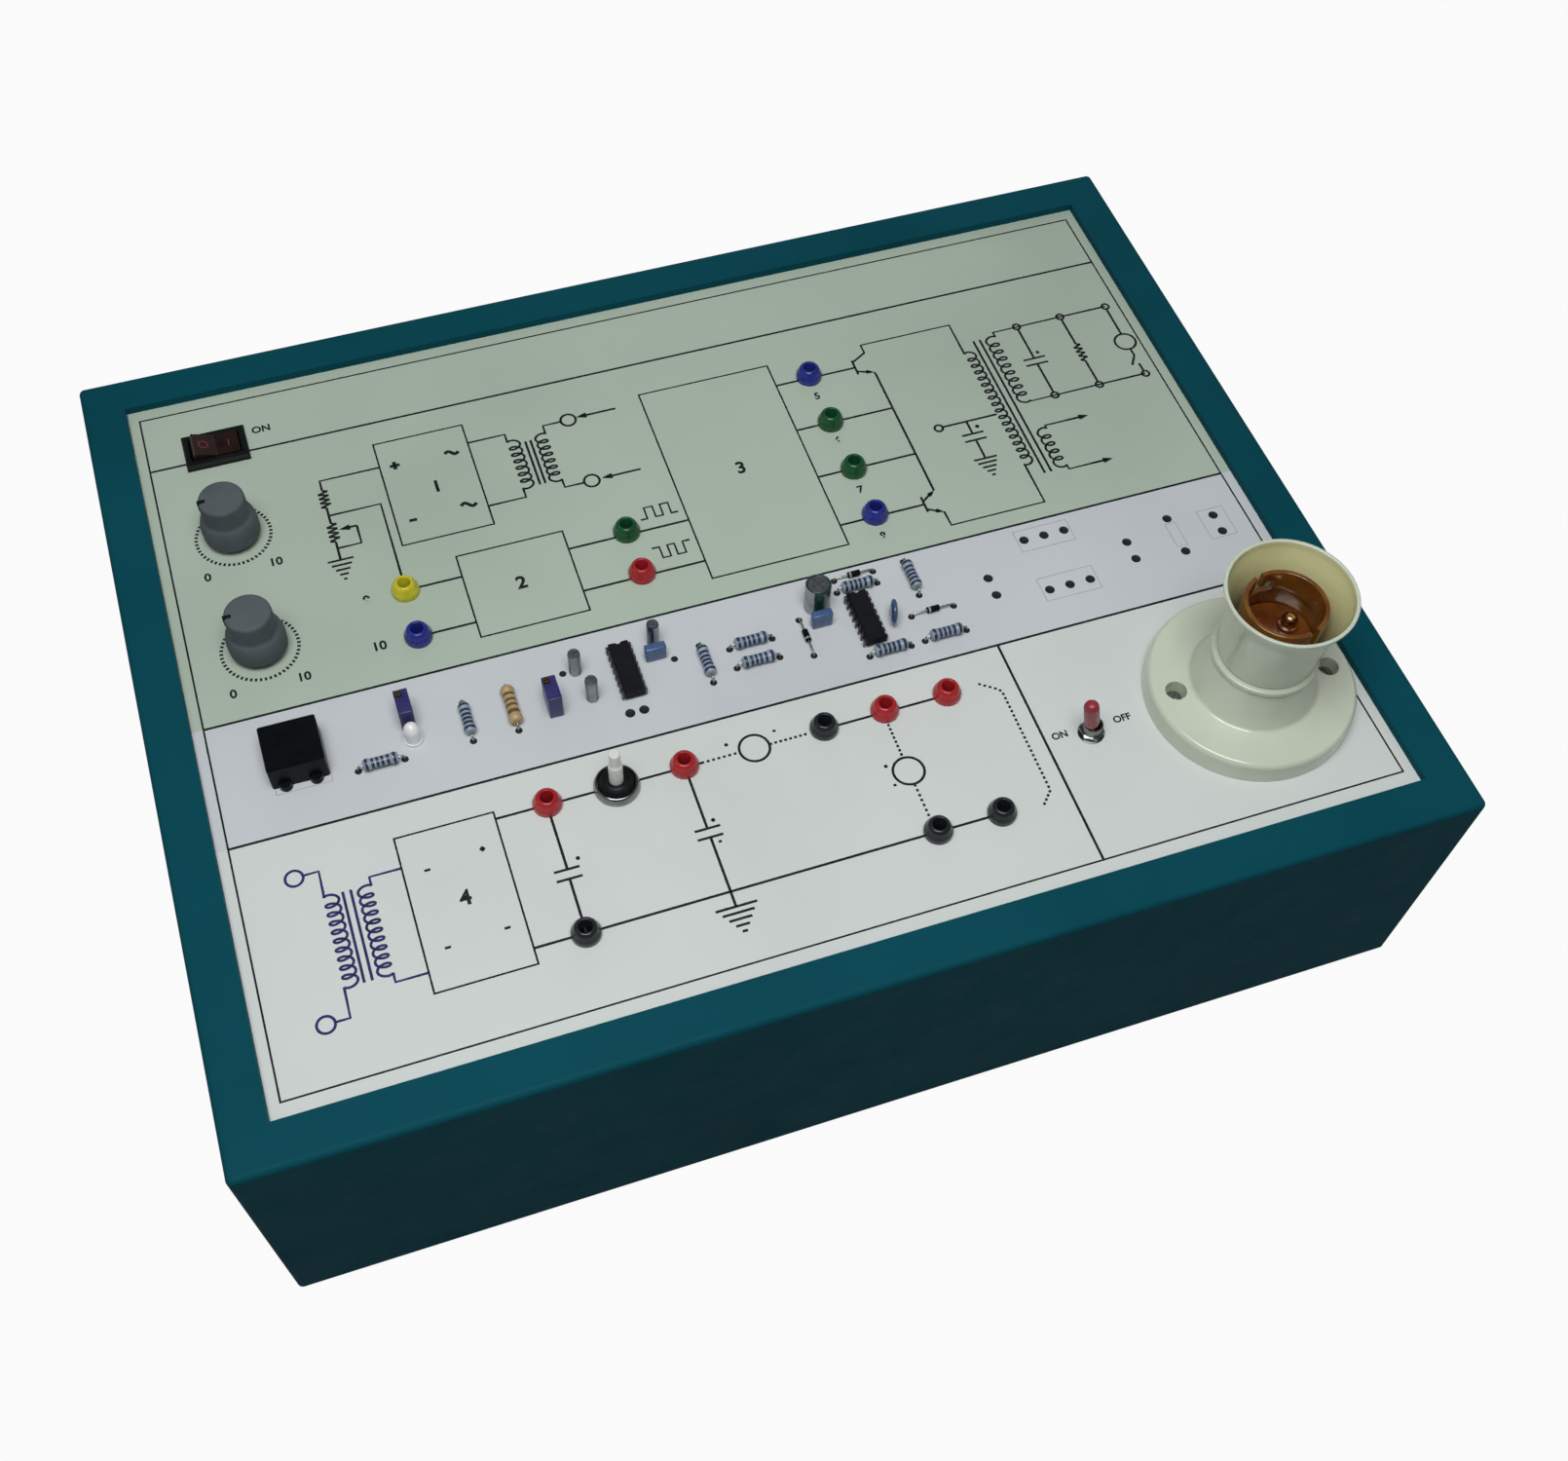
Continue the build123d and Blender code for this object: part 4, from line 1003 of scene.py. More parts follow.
@dataclass
class CircuitPrint:
    """The printed circuit on the panel: frames, symbols, wires, dial rings, numbers and switch words.

    Attributes:
        half_width: Half the width of the printed frame.
        bottom: Y of its lower line.
        strip_low: Y of the line below the component strip.
        strip_top: Y of the line above it.
        head: Y of the line under the head field.
        top: Y of the frame's upper line.
        divider: X of the line beside the lamp's field.
        dials: Centres of the dotted rings.
        words: Text, X, Y and letter height.
    """

    half_width: float = 172.4
    bottom: float = -127.8
    strip_low: float = -46.0
    strip_top: float = -2.3
    head: float = 105.2
    top: float = 129.0
    divider: float = 71.5
    dials: Sequence[Point] = ((-150.7, 70.2), (-150.6, 22.8))
    words: Sequence[tuple[str, float, float, float]] = (
        ("ON", -133.9, 113.6, 2.9), ("ON", 76.7, -83.6, 2.4), ("OFF", 97.8, -83.6, 2.4),
        ("1", -82.9, 71.0, 5.0), ("2", -66.2, 23.4, 5.0), ("3", 16.7, 48.6, 5.0), ("4", -110.4, -82.7, 5.0),
        ("5", 52.4, 71.9, 3.0), ("6", 52.5, 50.6, 3.0), ("7", 52.1, 27.6, 3.0), ("8", 52.5, 6.6, 3.0),
        ("9", -115.0, 31.4, 3.4), ("10", -115.0, 12.4, 3.4), ("0", -161.5, 55.4, 3.2),
        ("10", -139.6, 55.4, 3.2), ("0", -161.5, 8.0, 3.2), ("10", -139.6, 8.0, 3.2),
    )

    def frames(self, ink: Ink) -> None:
        """The frame and the lines between the fields.

        Args:
            ink: The ink.
        """
        side = self.half_width
        ink.box(-side, self.bottom, side, self.top)
        ink.routes(*[(-side, y, side) for y in (self.head, self.strip_top, self.strip_low)])
        ink.line((self.divider, self.strip_low), (self.divider, self.bottom))

    def control_field(self, ink: Ink) -> None:
        """The upper left: divider, bridge block and controller block.

        Args:
            ink: The ink.
        """
        ink.box(-99.3, 49.8, -68.6, 95.4)
        ink.box(-83.8, 6.3, -48.1, 40.2)
        ink.routes((-99.3, 84.9, -119.6, 80.4), (-119.6, 72.9, -119.6, 65.8), (-119.6, 57.9, -119.6, 50.2),
                   (-119.6, 69.3, -102.3, 31.1), (-111.7, 62.6, -111.7, 55.0, -119.6), (-102.4, 31.6, -83.8),
                   (-102.5, 12.5, -83.8), (-68.6, 86.8, -55.7, 82.9), (-68.6, 57.8, -55.7, 61.9),
                   (-42.3, 82.9, -42.3, 86.8, -35.9), (-42.3, 61.9, -42.3, 58.1, -35.6))
        ink.resistor(-119.6, 72.9, 80.4)
        ink.resistor(-119.6, 57.9, 65.8)
        ink.earth(-119.6, 50.0, (8.4, 6.6, 4.8, 2.8, 1.2), 2.0)
        ink.winding(-55.7, 61.9, 82.9, 1, 7, 4.0)
        ink.core(-49.8, -48.0, 61.7, 81.7)
        ink.winding(-42.3, 61.9, 82.9, -1, 7, 4.0)
        ink.circle(-33.3, 86.8, 2.6)
        ink.circle(-32.9, 58.2, 2.6)
        for tip, tail, y in ((-117.6, -111.7, 62.6), (-30.3, -16.3, 87.2), (-29.4, -15.8, 58.3)):
            ink.arrow((tip, y), (tail, y))

    def driver_field(self, ink: Ink) -> None:
        """The upper middle: driver block, waveforms and output stage.

        Args:
            ink: The ink.
        """
        ink.box(-6.9, 6.7, 40.3, 90.8)
        ink.routes((-48.1, 32.3, -6.9), (-48.1, 14.3, -6.9),
                   (-22.1, 36.9, -19.8, 41.6, -16.9, 36.9, -14.3, 41.6, -11.5, 36.9, -9.2),
                   (-22.1, 24.3, -19.6, 19.6, -16.9, 24.3, -14.5, 19.6, -11.7, 24.3, -9.2),
                   (40.3, 80.8, 69.8), (40.3, 59.0, 75.6), (40.3, 37.0, 75.6), (40.3, 15.1, 70.4),
                   (69.8, 84.3, 69.8, 77.4), (70.4, 18.5, 70.4, 11.7), (89.1, 45.5, 109.4),
                   (97.9, 45.5, 97.9, 39.6), (97.9, 36.7, 97.9, 28.1))
        ink.line((69.8, 83.4), (75.4, 86.6), (75.4, 90.5), (109.4, 90.5), (109.4, 75.4))
        ink.line((75.4, 76.8), (75.7, 76.0), (75.7, 19.8))
        ink.line((75.6, 10.2), (75.8, 4.1), (109.6, 4.1), (109.6, 21.6))
        for tip, tail in (((75.4, 76.8), (69.8, 78.9)), ((75.6, 19.8), (70.4, 16.4)),
                          ((75.6, 10.2), (70.4, 12.9))):
            ink.arrow(tip, tail, 1.8)
        ink.winding(109.5, 21.6, 75.4, 1, 17, 3.6)
        ink.core(114.8, 117.2, 15.8, 80.4)
        ink.circle(87.6, 45.4, 1.45)
        ink.capacitor(97.9, 39.6, 36.7, 4.0)
        ink.plus(100.7, 42.3, 1.5)
        ink.earth(97.9, 28.0, (8.4, 6.8, 5.0, 3.2, 1.4), 1.9)

    def load_field(self, ink: Ink) -> None:
        """The upper right: output windings, filter, load lamp and its switch.

        Args:
            ink: The ink.
        """
        ink.winding(123.2, 48.3, 80.0, -1, 9, 4.2)
        ink.winding(123.4, 17.1, 34.2, -1, 5, 4.0)
        ink.routes((132.5, 81.2, 132.5, 66.3), (132.5, 63.5, 132.5, 49.1), (149.6, 81.2, 149.6, 68.3),
                   (149.6, 60.0, 149.6, 49.1), (123.4, 34.2, 123.4, 35.7, 137.0),
                   (123.4, 17.1, 123.4, 15.0, 137.0))
        ink.line((123.2, 80.0), (123.2, 82.4), (167.6, 82.6))
        ink.line((123.2, 48.3), (123.2, 47.7), (167.5, 47.9))
        ink.line((167.5, 81.2), (167.4, 68.0))
        ink.line((167.4, 60.4), (167.5, 57.1), (164.8, 52.9))
        ink.line((167.4, 53.0), (167.5, 49.1))
        for x in (132.5, 149.6, 167.6):
            ink.circle(x, 82.5, 1.3)
            ink.circle(x, 47.8, 1.3)
        ink.circle(167.2, 64.2, 3.8)
        ink.capacitor(132.5, 66.3, 63.5, 4.2)
        ink.plus(134.8, 68.7, 1.3)
        ink.resistor(149.6, 60.0, 68.3, 1.5)
        ink.arrow((139.8, 35.7), (132.0, 35.7))
        ink.arrow((139.8, 15.0), (132.0, 15.0))

    def supply_field(self, ink: Ink) -> None:
        """The lower field: rectifier block, filter capacitors and meters.

        Args:
            ink: The ink.
        """
        ink.box(-125.8, -109.3, -95.8, -57.1)
        ink.routes((-80.0, -59.6, -80.0, -82.5), (-36.9, -59.5, -36.9, -81.9), (-36.9, -85.0, -36.9, -109.2))
        for ends in (((-95.8, -59.6), (-31.7, -59.5)), ((-80.2, -85.7), (-80.3, -104.3)),
                     ((-95.8, -104.2), (48.7, -103.9)), ((12.4, -59.2), (48.9, -59.0))):
            ink.line(*ends)
        for ends in (((-31.7, -59.5), (-19.6, -59.4)), ((-9.8, -59.4), (3.0, -59.3)),
                     ((27.5, -63.5), (27.5, -76.3)), ((27.5, -86.3), (27.6, -99.0)),
                     ((59.9, -58.0), (65.4, -62.0), (66.0, -63.5), (66.0, -100.8), (61.6, -105.5))):
            ink.dashes(*ends)
        ink.capacitor(-80.2, -82.5, -85.7, 3.9)
        ink.capacitor(-36.9, -81.9, -85.0, 4.0)
        ink.earth(-36.8, -109.2, (12.7, 9.8, 7.0, 4.2, 1.6), 2.05)
        ink.circle(-14.6, -59.3, 4.75)
        ink.circle(27.5, -81.3, 4.85)
        for x, y, size in ((-76.1, -79.8, 1.2), (-34.4, -79.6, 1.2), (-22.5, -55.6, 1.1), (21.4, -77.7, 1.1),
                           (-101.9, -68.3, 1.7)):
            ink.plus(x, y, size)
        for x, y, size in ((-34.6, -87.2, 1.0), (-6.9, -55.2, 1.0), (21.7, -84.8, 1.0), (-118.8, -70.3, 1.8),
                           (-118.9, -96.5, 1.8), (-101.3, -95.6, 1.8)):
            ink.minus(x, y, size)

    def mains_field(self, ink: Ink) -> None:
        """The mains transformer's sign at the lower left.

        Args:
            ink: The ink.
        """
        ink.circle(-156.0, -61.3, 2.6)
        ink.circle(-156.3, -109.3, 2.6)
        ink.line((-153.4, -61.1), (-148.8, -61.1), (-149.0, -70.2))
        ink.line((-153.7, -109.3), (-149.5, -109.3), (-149.3, -99.6))
        ink.winding(-149.2, -99.6, -70.2, 1, 10, 4.2)
        ink.core(-143.6, -141.3, -100.0, -69.8)
        ink.winding(-135.3, -99.4, -70.4, -1, 10, 4.2)
        ink.routes((-135.3, -70.4, -135.3, -67.4, -125.8), (-135.3, -99.4, -135.3, -102.5, -125.8))

    def bold_signs(self, ink: Ink) -> None:
        """The heavier signs in the bridge block.

        Args:
            ink: The ink.
        """
        ink.plus(-94.3, 84.2, 3.4)
        ink.minus(-93.6, 59.3, 2.6)
        ink.swing(-74.8, 84.2, 4.6)
        ink.swing(-74.6, 60.4, 5.2)

    def outlines(self, ink: Ink) -> None:
        """Faint outlines around groups of bare holes and under the square block.

        Args:
            ink: The ink.
        """
        for corners in ((94.0, -13.7, 113.1, -5.0), (93.8, -34.8, 113.3, -25.4), (156.7, -27.5, 166.1, -15.3),
                        (144.2, -27.1, 147.9, -17.1), (-155.6, -31.9, -138.7, -12.0)):
            ink.box(*corners)

    def rings(self, ink: Ink) -> None:
        """The dotted rings round the knobs."""
        for x, y in self.dials:
            ink.dotted_ring(x, y, 12.0, 50)

    def lettering(self) -> Piece:
        """The numbers and switch words.

        Returns:
            One mesh of them all.
        """
        made = []
        for text, x, y, tall in self.words:
            deselect()
            bpy.ops.object.text_add(location=(0, 0, 0))
            data = bpy.context.active_object.data
            data.body = text
            data.size = tall * 1.38 * MM
            data.align_x = "CENTER"
            data.align_y = "CENTER"
            data.extrude = 0.03 * MM
            data.offset = tall * 0.04 * MM
            bpy.ops.object.convert(target="MESH")
            made.append(move(bpy.context.active_object, x, y, PANEL_Z + 0.03))
        return merged("panel_numbers", made)

    def build(self) -> None:
        """Makes the printed lines and words."""
        fields = (self.frames, self.control_field, self.driver_field, self.load_field, self.supply_field)
        for ink, draws in ((Ink("circuit_lines", INK_BLACK), fields),
                           (Ink("mains_lines", INK_BLUE), (self.mains_field,)),
                           (Ink("bold_signs", INK_BLACK, 1.3), (self.bold_signs,)),
                           (Ink("hole_outlines", INK_GREY, 0.3), (self.outlines,)),
                           (Ink("dial_dots", INK_BLACK, 1.15), (self.rings,))):
            for draw in draws:
                draw(ink)
            mount(ink.make())
        mount(self.lettering(), INK_BLACK)


# Sub-assemblies


@dataclass
class Housing:
    """The feet of the steel case, its screws and what sits on its back wall."""

    half_width: float = 190.0
    half_depth: float = 147.5
    base_z: float = 5.0
    foot_inset: float = 30.0
    foot: float = 9.0
    inlet: Point = (-105.0, 48.0)
    inlet_spread: float = 20.0
    inlet_flange: float = 1.38
    fuse: Point = (-60.0, 48.0)
    screw: float = 3.0
    screw_spread: Point = (178.0, 136.0)

    def feet(self) -> None:
        """Rubber feet with a rounded edge and a screw in a well."""
        foot = turned("foot", 48, [(2.4, 0), (self.foot - 1.2, 0, 0.8), (self.foot, 1.2, 0.6),
                                   (self.foot, 4.98, 0.2), (2.4, 4.98)], ring=True)
        screw = drum(2.35, 2.6, 4.9, 24)
        x, y = self.half_width - self.foot_inset, self.half_depth - self.foot_inset
        places = [(side * x, end * y) for side in (-1, 1) for end in (-1, 1)]
        mount(merged("feet", copies(foot, places)), RUBBER, "rubber_feet")
        mount(merged("foot_screws", copies(screw, places)), ZINC)

    def base_screws(self) -> None:
        """Pan-head screws with a cross recess, which hold the base plate."""
        screw = turned("screw", 32, [(self.screw, 0), (self.screw, 1.2, 0.5), (self.screw * 0.6, 1.9, 0.8),
                                     (0.02, 2.0), (0, 2.0)], 5)
        carve(screw, brick("bar", (-1.7, -0.35, 0.9), (1.7, 0.35, 3.0)),
              brick("bar", (-0.35, -1.7, 0.9), (0.35, 1.7, 3.0)))
        screw.data.transform(Matrix.Diagonal((1, 1, 0.6, 1)) @ spin("X", 180))
        x, y = self.screw_spread
        places = [(x * i, y * j, self.base_z) for i in (-1, 0, 1) for j in (-1, 0, 1) if i or j]
        mount(merged("base_screws", copies(screw, places)), ZINC)

    def back_fittings(self) -> None:
        """The inlet's two screws and the fuse holder's slotted cap."""
        back = spin("X", -90)
        screw = turned("screw", 32, [(0, 0), (2.6, 0), (2.6, 0.2), (1.4, 0.6), (0, 0.6)])
        carve(screw, brick("slot", (-3.0, -0.3, 0.3), (3.0, 0.3, 1.0)))
        x, z = self.inlet
        places = [(x + side * self.inlet_spread, self.half_depth + self.inlet_flange, z, back)
                  for side in (-1, 1)]
        mount(merged("inlet_screws", copies(screw, places)), ZINC)
        cap = turned("fuse_cap", 48, [(0, 0), (7.9, 0), (7.9, 1.6, 0.5), (5.4, 2.0, 0.3), (5.2, 1.3, 0.2),
                                      (0, 1.3)])
        carve(cap, brick("slot", (-3.8, -0.7, 0.5), (3.8, 0.7, 3.0)))
        x, z = self.fuse
        mount(move(cap, x, self.half_depth, z, back), BLACK)

    def build(self) -> None:
        """Makes all the case's own pieces."""
        self.feet()
        self.base_screws()
        self.back_fittings()


@dataclass
class BareHoles:
    """Drilled holes in the component strip: flat discs with a burred edge, dark in painted shade for each
    hole's unlit inside.

    Attributes:
        radius: Radius of a hole without a part.
        places: Centres of those holes.
        lead_radius: Radius of a hole that a lead goes into.
        lead_places: Centres of such holes without a lying part.
    """

    radius: float = 1.6
    places: Sequence[Point] = (
        (78.9, -20.3), (78.9, -27.4), (96.4, -9.1), (103.6, -9.1), (110.8, -9.1), (96.4, -30.6),
        (103.6, -30.6), (110.8, -30.6), (128.8, -20.1), (128.8, -27.4), (146.0, -15.0), (146.0, -29.4),
        (161.6, -18.2), (161.6, -25.3), (-47.1, -35.6), (-42.6, -35.6),
    )
    lead_radius: float = 1.15
    lead_places: Sequence[Point] = ((-63.0, -15.1), (-28.1, -20.2))

    def build(self, ends: Iterable[Point]) -> None:
        """Makes every hole.

        Args:
            ends: Where the leads of the lying parts go in.
        """
        holes = []
        for radius, places in ((self.radius, self.places), (self.lead_radius, [*self.lead_places, *ends])):
            disc = turned("hole", 24, [(0, PANEL_Z + 0.01), (radius * 0.86, PANEL_Z + 0.01),
                                       (radius * 0.93, PANEL_Z + 0.09, 0.03), (radius, PANEL_Z + 0.005),
                                       (radius, PANEL_Z - 0.01)], 2)
            holes += copies(disc, places)
        # The discs' near-black colour is painted shade in place of each hole's unlit inside.
        mount(merged("hole_shade_discs", holes), HOLE_SHADE)


@dataclass
class Sockets:
    """Test sockets: a domed collar on the panel, a bush through it and a brass lining."""

    bore: float = 2.0
    bush: float = 3.4
    depth: float = 16.0
    head: float = 4.5
    crown: float = 3.1
    height: float = 5.0
    lining: float = 0.35
    lining_top: float = -1.5
    places: dict[str, Sequence[Point]] = field(default_factory=lambda: {
        "yellow": [(-102.4, 31.1)],
        "blue": [(-102.5, 12.2), (52.6, 81.3), (52.8, 15.6)],
        "green": [(-28.1, 33.1), (52.6, 58.8), (52.9, 36.5)],
        "red": [(-28.1, 15.2), (-79.8, -59.6), (-37.0, -59.3), (28.1, -58.8), (48.9, -58.8)],
        "black": [(8.0, -59.2), (28.1, -104.0), (48.7, -104.0), (-80.4, -104.4)],
    })

    def collar(self) -> Piece:
        """The moulding, with a stepped and rounded head.

        Returns:
            One collar, at the origin.
        """
        wall = self.bore + self.lining
        step = self.lining_top + 0.1
        return turned("collar", 48, [
            (wall, -self.depth), (self.bush, -self.depth, 0.2), (self.bush, 0), (self.head, 0, 0.1),
            (self.head, 1.9, 0.8), (self.head - 0.5, 2.8, 0.6), (self.crown + 0.3, self.height - 0.6, 0.8),
            (self.crown - 0.4, self.height, 0.6), (self.bore + 0.2, self.height, 0.15),
            (self.bore, self.height - 0.4), (self.bore, step), (wall, step)], 5, ring=True)

    def build(self) -> None:
        """Makes the sockets of each colour and their linings."""
        wall = self.bore + self.lining
        low = 0.5 - self.depth
        for colour, places in self.places.items():
            heads = copies(self.collar(), [(x, y, PANEL_Z) for x, y in places])
            mount(merged(f"{colour}_sockets", heads), SOCKET_FINISHES[colour],
                  f"sockets_{colour}")
        liner = turned("liner", 32, [(self.bore, low), (wall, low), (wall, self.lining_top),
                                     (self.bore, self.lining_top)], ring=True)
        tubes = copies(liner, [(x, y, PANEL_Z) for places in self.places.values() for x, y in places])
        mount(merged("socket_linings", tubes), BRASS)


@dataclass
class Knob:
    """A skirted grey knob with a black index notch, on the shaft at x and y."""

    label: str
    x: float
    y: float
    skirt: float = 9.3
    crown: float = 7.4
    lift: float = 2.4
    height: float = 19.0
    hollow: float = 6.8

    def build(self) -> None:
        """Makes the knob, hollow below, and its notch."""
        shell = turned(f"{self.label}_knob_shell", 72, [
            (self.hollow, self.lift), (self.skirt - 0.2, self.lift, 0.3), (self.skirt, 7.2, 1.8),
            (self.crown + 1.1, 10.0, 1.8), (self.crown + 0.1, 11.2, 0.9),
            (self.crown - 0.1, self.height, 1.3), (0.02, self.height), (0, self.height)], 5)
        rim = (self.hollow + 0.05) * MM
        low = (self.lift + 0.01) * MM
        with editing(shell):
            pick(shell, lambda _, spot: spot.z < low and spot.xy.length < rim)
            pull(5.4)
            widen(0.5, 6.0)
            pull(9.0, close=True)
        close_up(shell, 35.0)
        notch = brick(f"{self.label}_knob_notch", (-self.crown - 0.12, -0.8, self.height - 3.2),
                      (2.6 - self.crown, 0.8, self.height + 0.02), 0.12)
        for piece, finish, node in ((shell, KNOB, f"{self.label}_knob"), (notch, BLACK, "")):
            mount(move(piece, self.x, self.y, PANEL_Z), finish, node, f"{self.label}_control")


@dataclass
class PowerSwitch:
    """The ring and bar marks on the two halves of the mains rocker."""

    x: float = -149.8
    y: float = 108.9
    pivot_z: float = 99.4
    tilt: float = 10.0
    dip: float = 2.154
    reach: float = 4.2

    def build(self) -> None:
        """Makes both marks flat and lays each on its half."""
        off = Ink("rocker_off_mark", SLEEVE_RED, 0.35)
        off.circle(0, 0, 1.5, 28)
        on = Ink("rocker_on_mark", SLEEVE_RED, 0.35)
        on.line((0, -1.4), (0, 1.4))
        for side, ink in ((-1, off), (1, on)):
            mark = move(ink.make(0.04, 0.0), side * self.reach)
            move(mark, 0, 0, self.dip, spin("Y", -side * self.tilt))
            move(mark, self.x, self.y, self.pivot_z, spin("Y", self.tilt))
            mount(mark, body="power_rocker")


@dataclass
class Breaker:
    """The push-to-reset breaker: a bright ring nut, a dark dome and a white stem."""

    x: float = -58.4
    y: float = -59.8
    ring: float = 7.1
    dome: float = 5.7
    stem: float = 2.2
    tip: float = 1.7
    shoulder: float = 12.4
    top: float = 18.6

    def build(self) -> None:
        """Makes the nut, the dome and the stem."""
        seat = self.dome + 0.15
        hole = self.stem + 0.12
        ring = turned("breaker_ring_nut", 64, [(seat, 0), (self.ring, 0, 0.1), (self.ring, 1.6, 0.9),
                                               (self.dome + 0.7, 2.9, 0.6), (seat, 3.0, 0.2), (seat, 2.4)], 6,
                      ring=True)
        dome = turned("breaker_dome", 48, [(hole, 0), (self.dome, 0), (self.dome, 3.3, 1.8),
                                           (self.stem + 1.0, 4.6, 1.2), (hole, 4.4)], 6, ring=True)
        stem = turned("breaker_stem", 40, [(0, -5.5), (self.stem, -5.5), (self.stem, self.shoulder, 0.3),
                                           (self.tip, self.shoulder + 0.7, 0.3), (self.tip, self.top, 0.4),
                                           (0.02, self.top), (0, self.top)])
        for piece in (ring, dome, stem):
            move(piece, self.x, self.y, PANEL_Z)
        mount(ring, CHROME, "breaker_nut")
        mount(dome, BLACK)
        mount(stem, WHITE_STEM, "breaker_button", "breaker_button")


@dataclass
class LampToggle:
    """The lamp switch and the other panel nuts: bright nuts and bush, and a lever in a red sleeve."""

    x: float = 86.3
    y: float = -85.6
    bore: float = 2.35
    bush: float = 3.0
    bush_top: float = 5.0
    thread_low: float = 1.9
    thread_rows: int = 8
    washer: float = 4.2
    washer_top: float = 0.35
    pivot: float = 1.8
    lean: float = 12.0
    sleeve: float = 2.4
    sleeve_low: float = 4.3
    sleeve_length: float = 12.0
    pots: Sequence[Point] = ((-150.6, 70.2), (-150.6, 22.8))

    def hardware(self) -> None:
        """The threaded bush, washer and nut of the switch, and the nuts of both potentiometers."""
        corners: list[Point] = [(self.bore, 0.02), (self.bush, 0.02)]
        thread = self.bush_top - 2.2
        pitch = thread / self.thread_rows
        for i in range(self.thread_rows):
            low = self.thread_low + thread * i / self.thread_rows
            corners += [(self.bush - 0.22, low + 0.1 * pitch), (self.bush, low + 0.6 * pitch)]
        corners += [(self.bush - 0.3, self.bush_top), (self.bore, self.bush_top)]
        inner = self.bush + 0.02
        made = [turned("toggle_bush", 40, corners, ring=True, smooth=25.0),
                move(nut("toggle_nut", 7.0, 1.8, inner), 0, 0, 0.36),
                turned("toggle_washer", 48, [(inner, 0), (self.washer, 0, 0.1),
                                             (self.washer, self.washer_top, 0.1),
                                             (inner, self.washer_top)], ring=True)]
        for piece in made:
            move(piece, self.x, self.y, PANEL_Z)
        made += [move(nut("pot_nut", 10.0, 2.0, 3.55), x, y, PANEL_Z) for x, y in self.pots]
        mount(merged("panel_hardware", made), CHROME, "panel_nuts")

    def cap(self) -> None:
        """The lever's red sleeve, hollow below."""
        low, out = self.sleeve_low, self.sleeve
        top = low + self.sleeve_length
        red = turned("toggle_red_sleeve", 40, [(1.15, low), (out - 0.1, low, 0.2), (out, low + 1.0),
                                               (out, top - 1.6, 0.8), (out - 1.0, top - 0.2, 1.0),
                                               (0.02, top), (0, top)], 6)
        with editing(red):
            pick(red, lambda _, spot: spot.z < (low + 0.01) * MM and spot.xy.length < 1.2 * MM)
            pull(10.8, close=True)
        close_up(red)
        move(red, self.x, self.y, PANEL_Z + self.pivot, spin("Y", -self.lean))
        mount(red, SLEEVE_RED, "toggle_sleeve", "lamp_toggle")

    def build(self) -> None:
        """Makes the hardware and the sleeve."""
        self.hardware()
        self.cap()


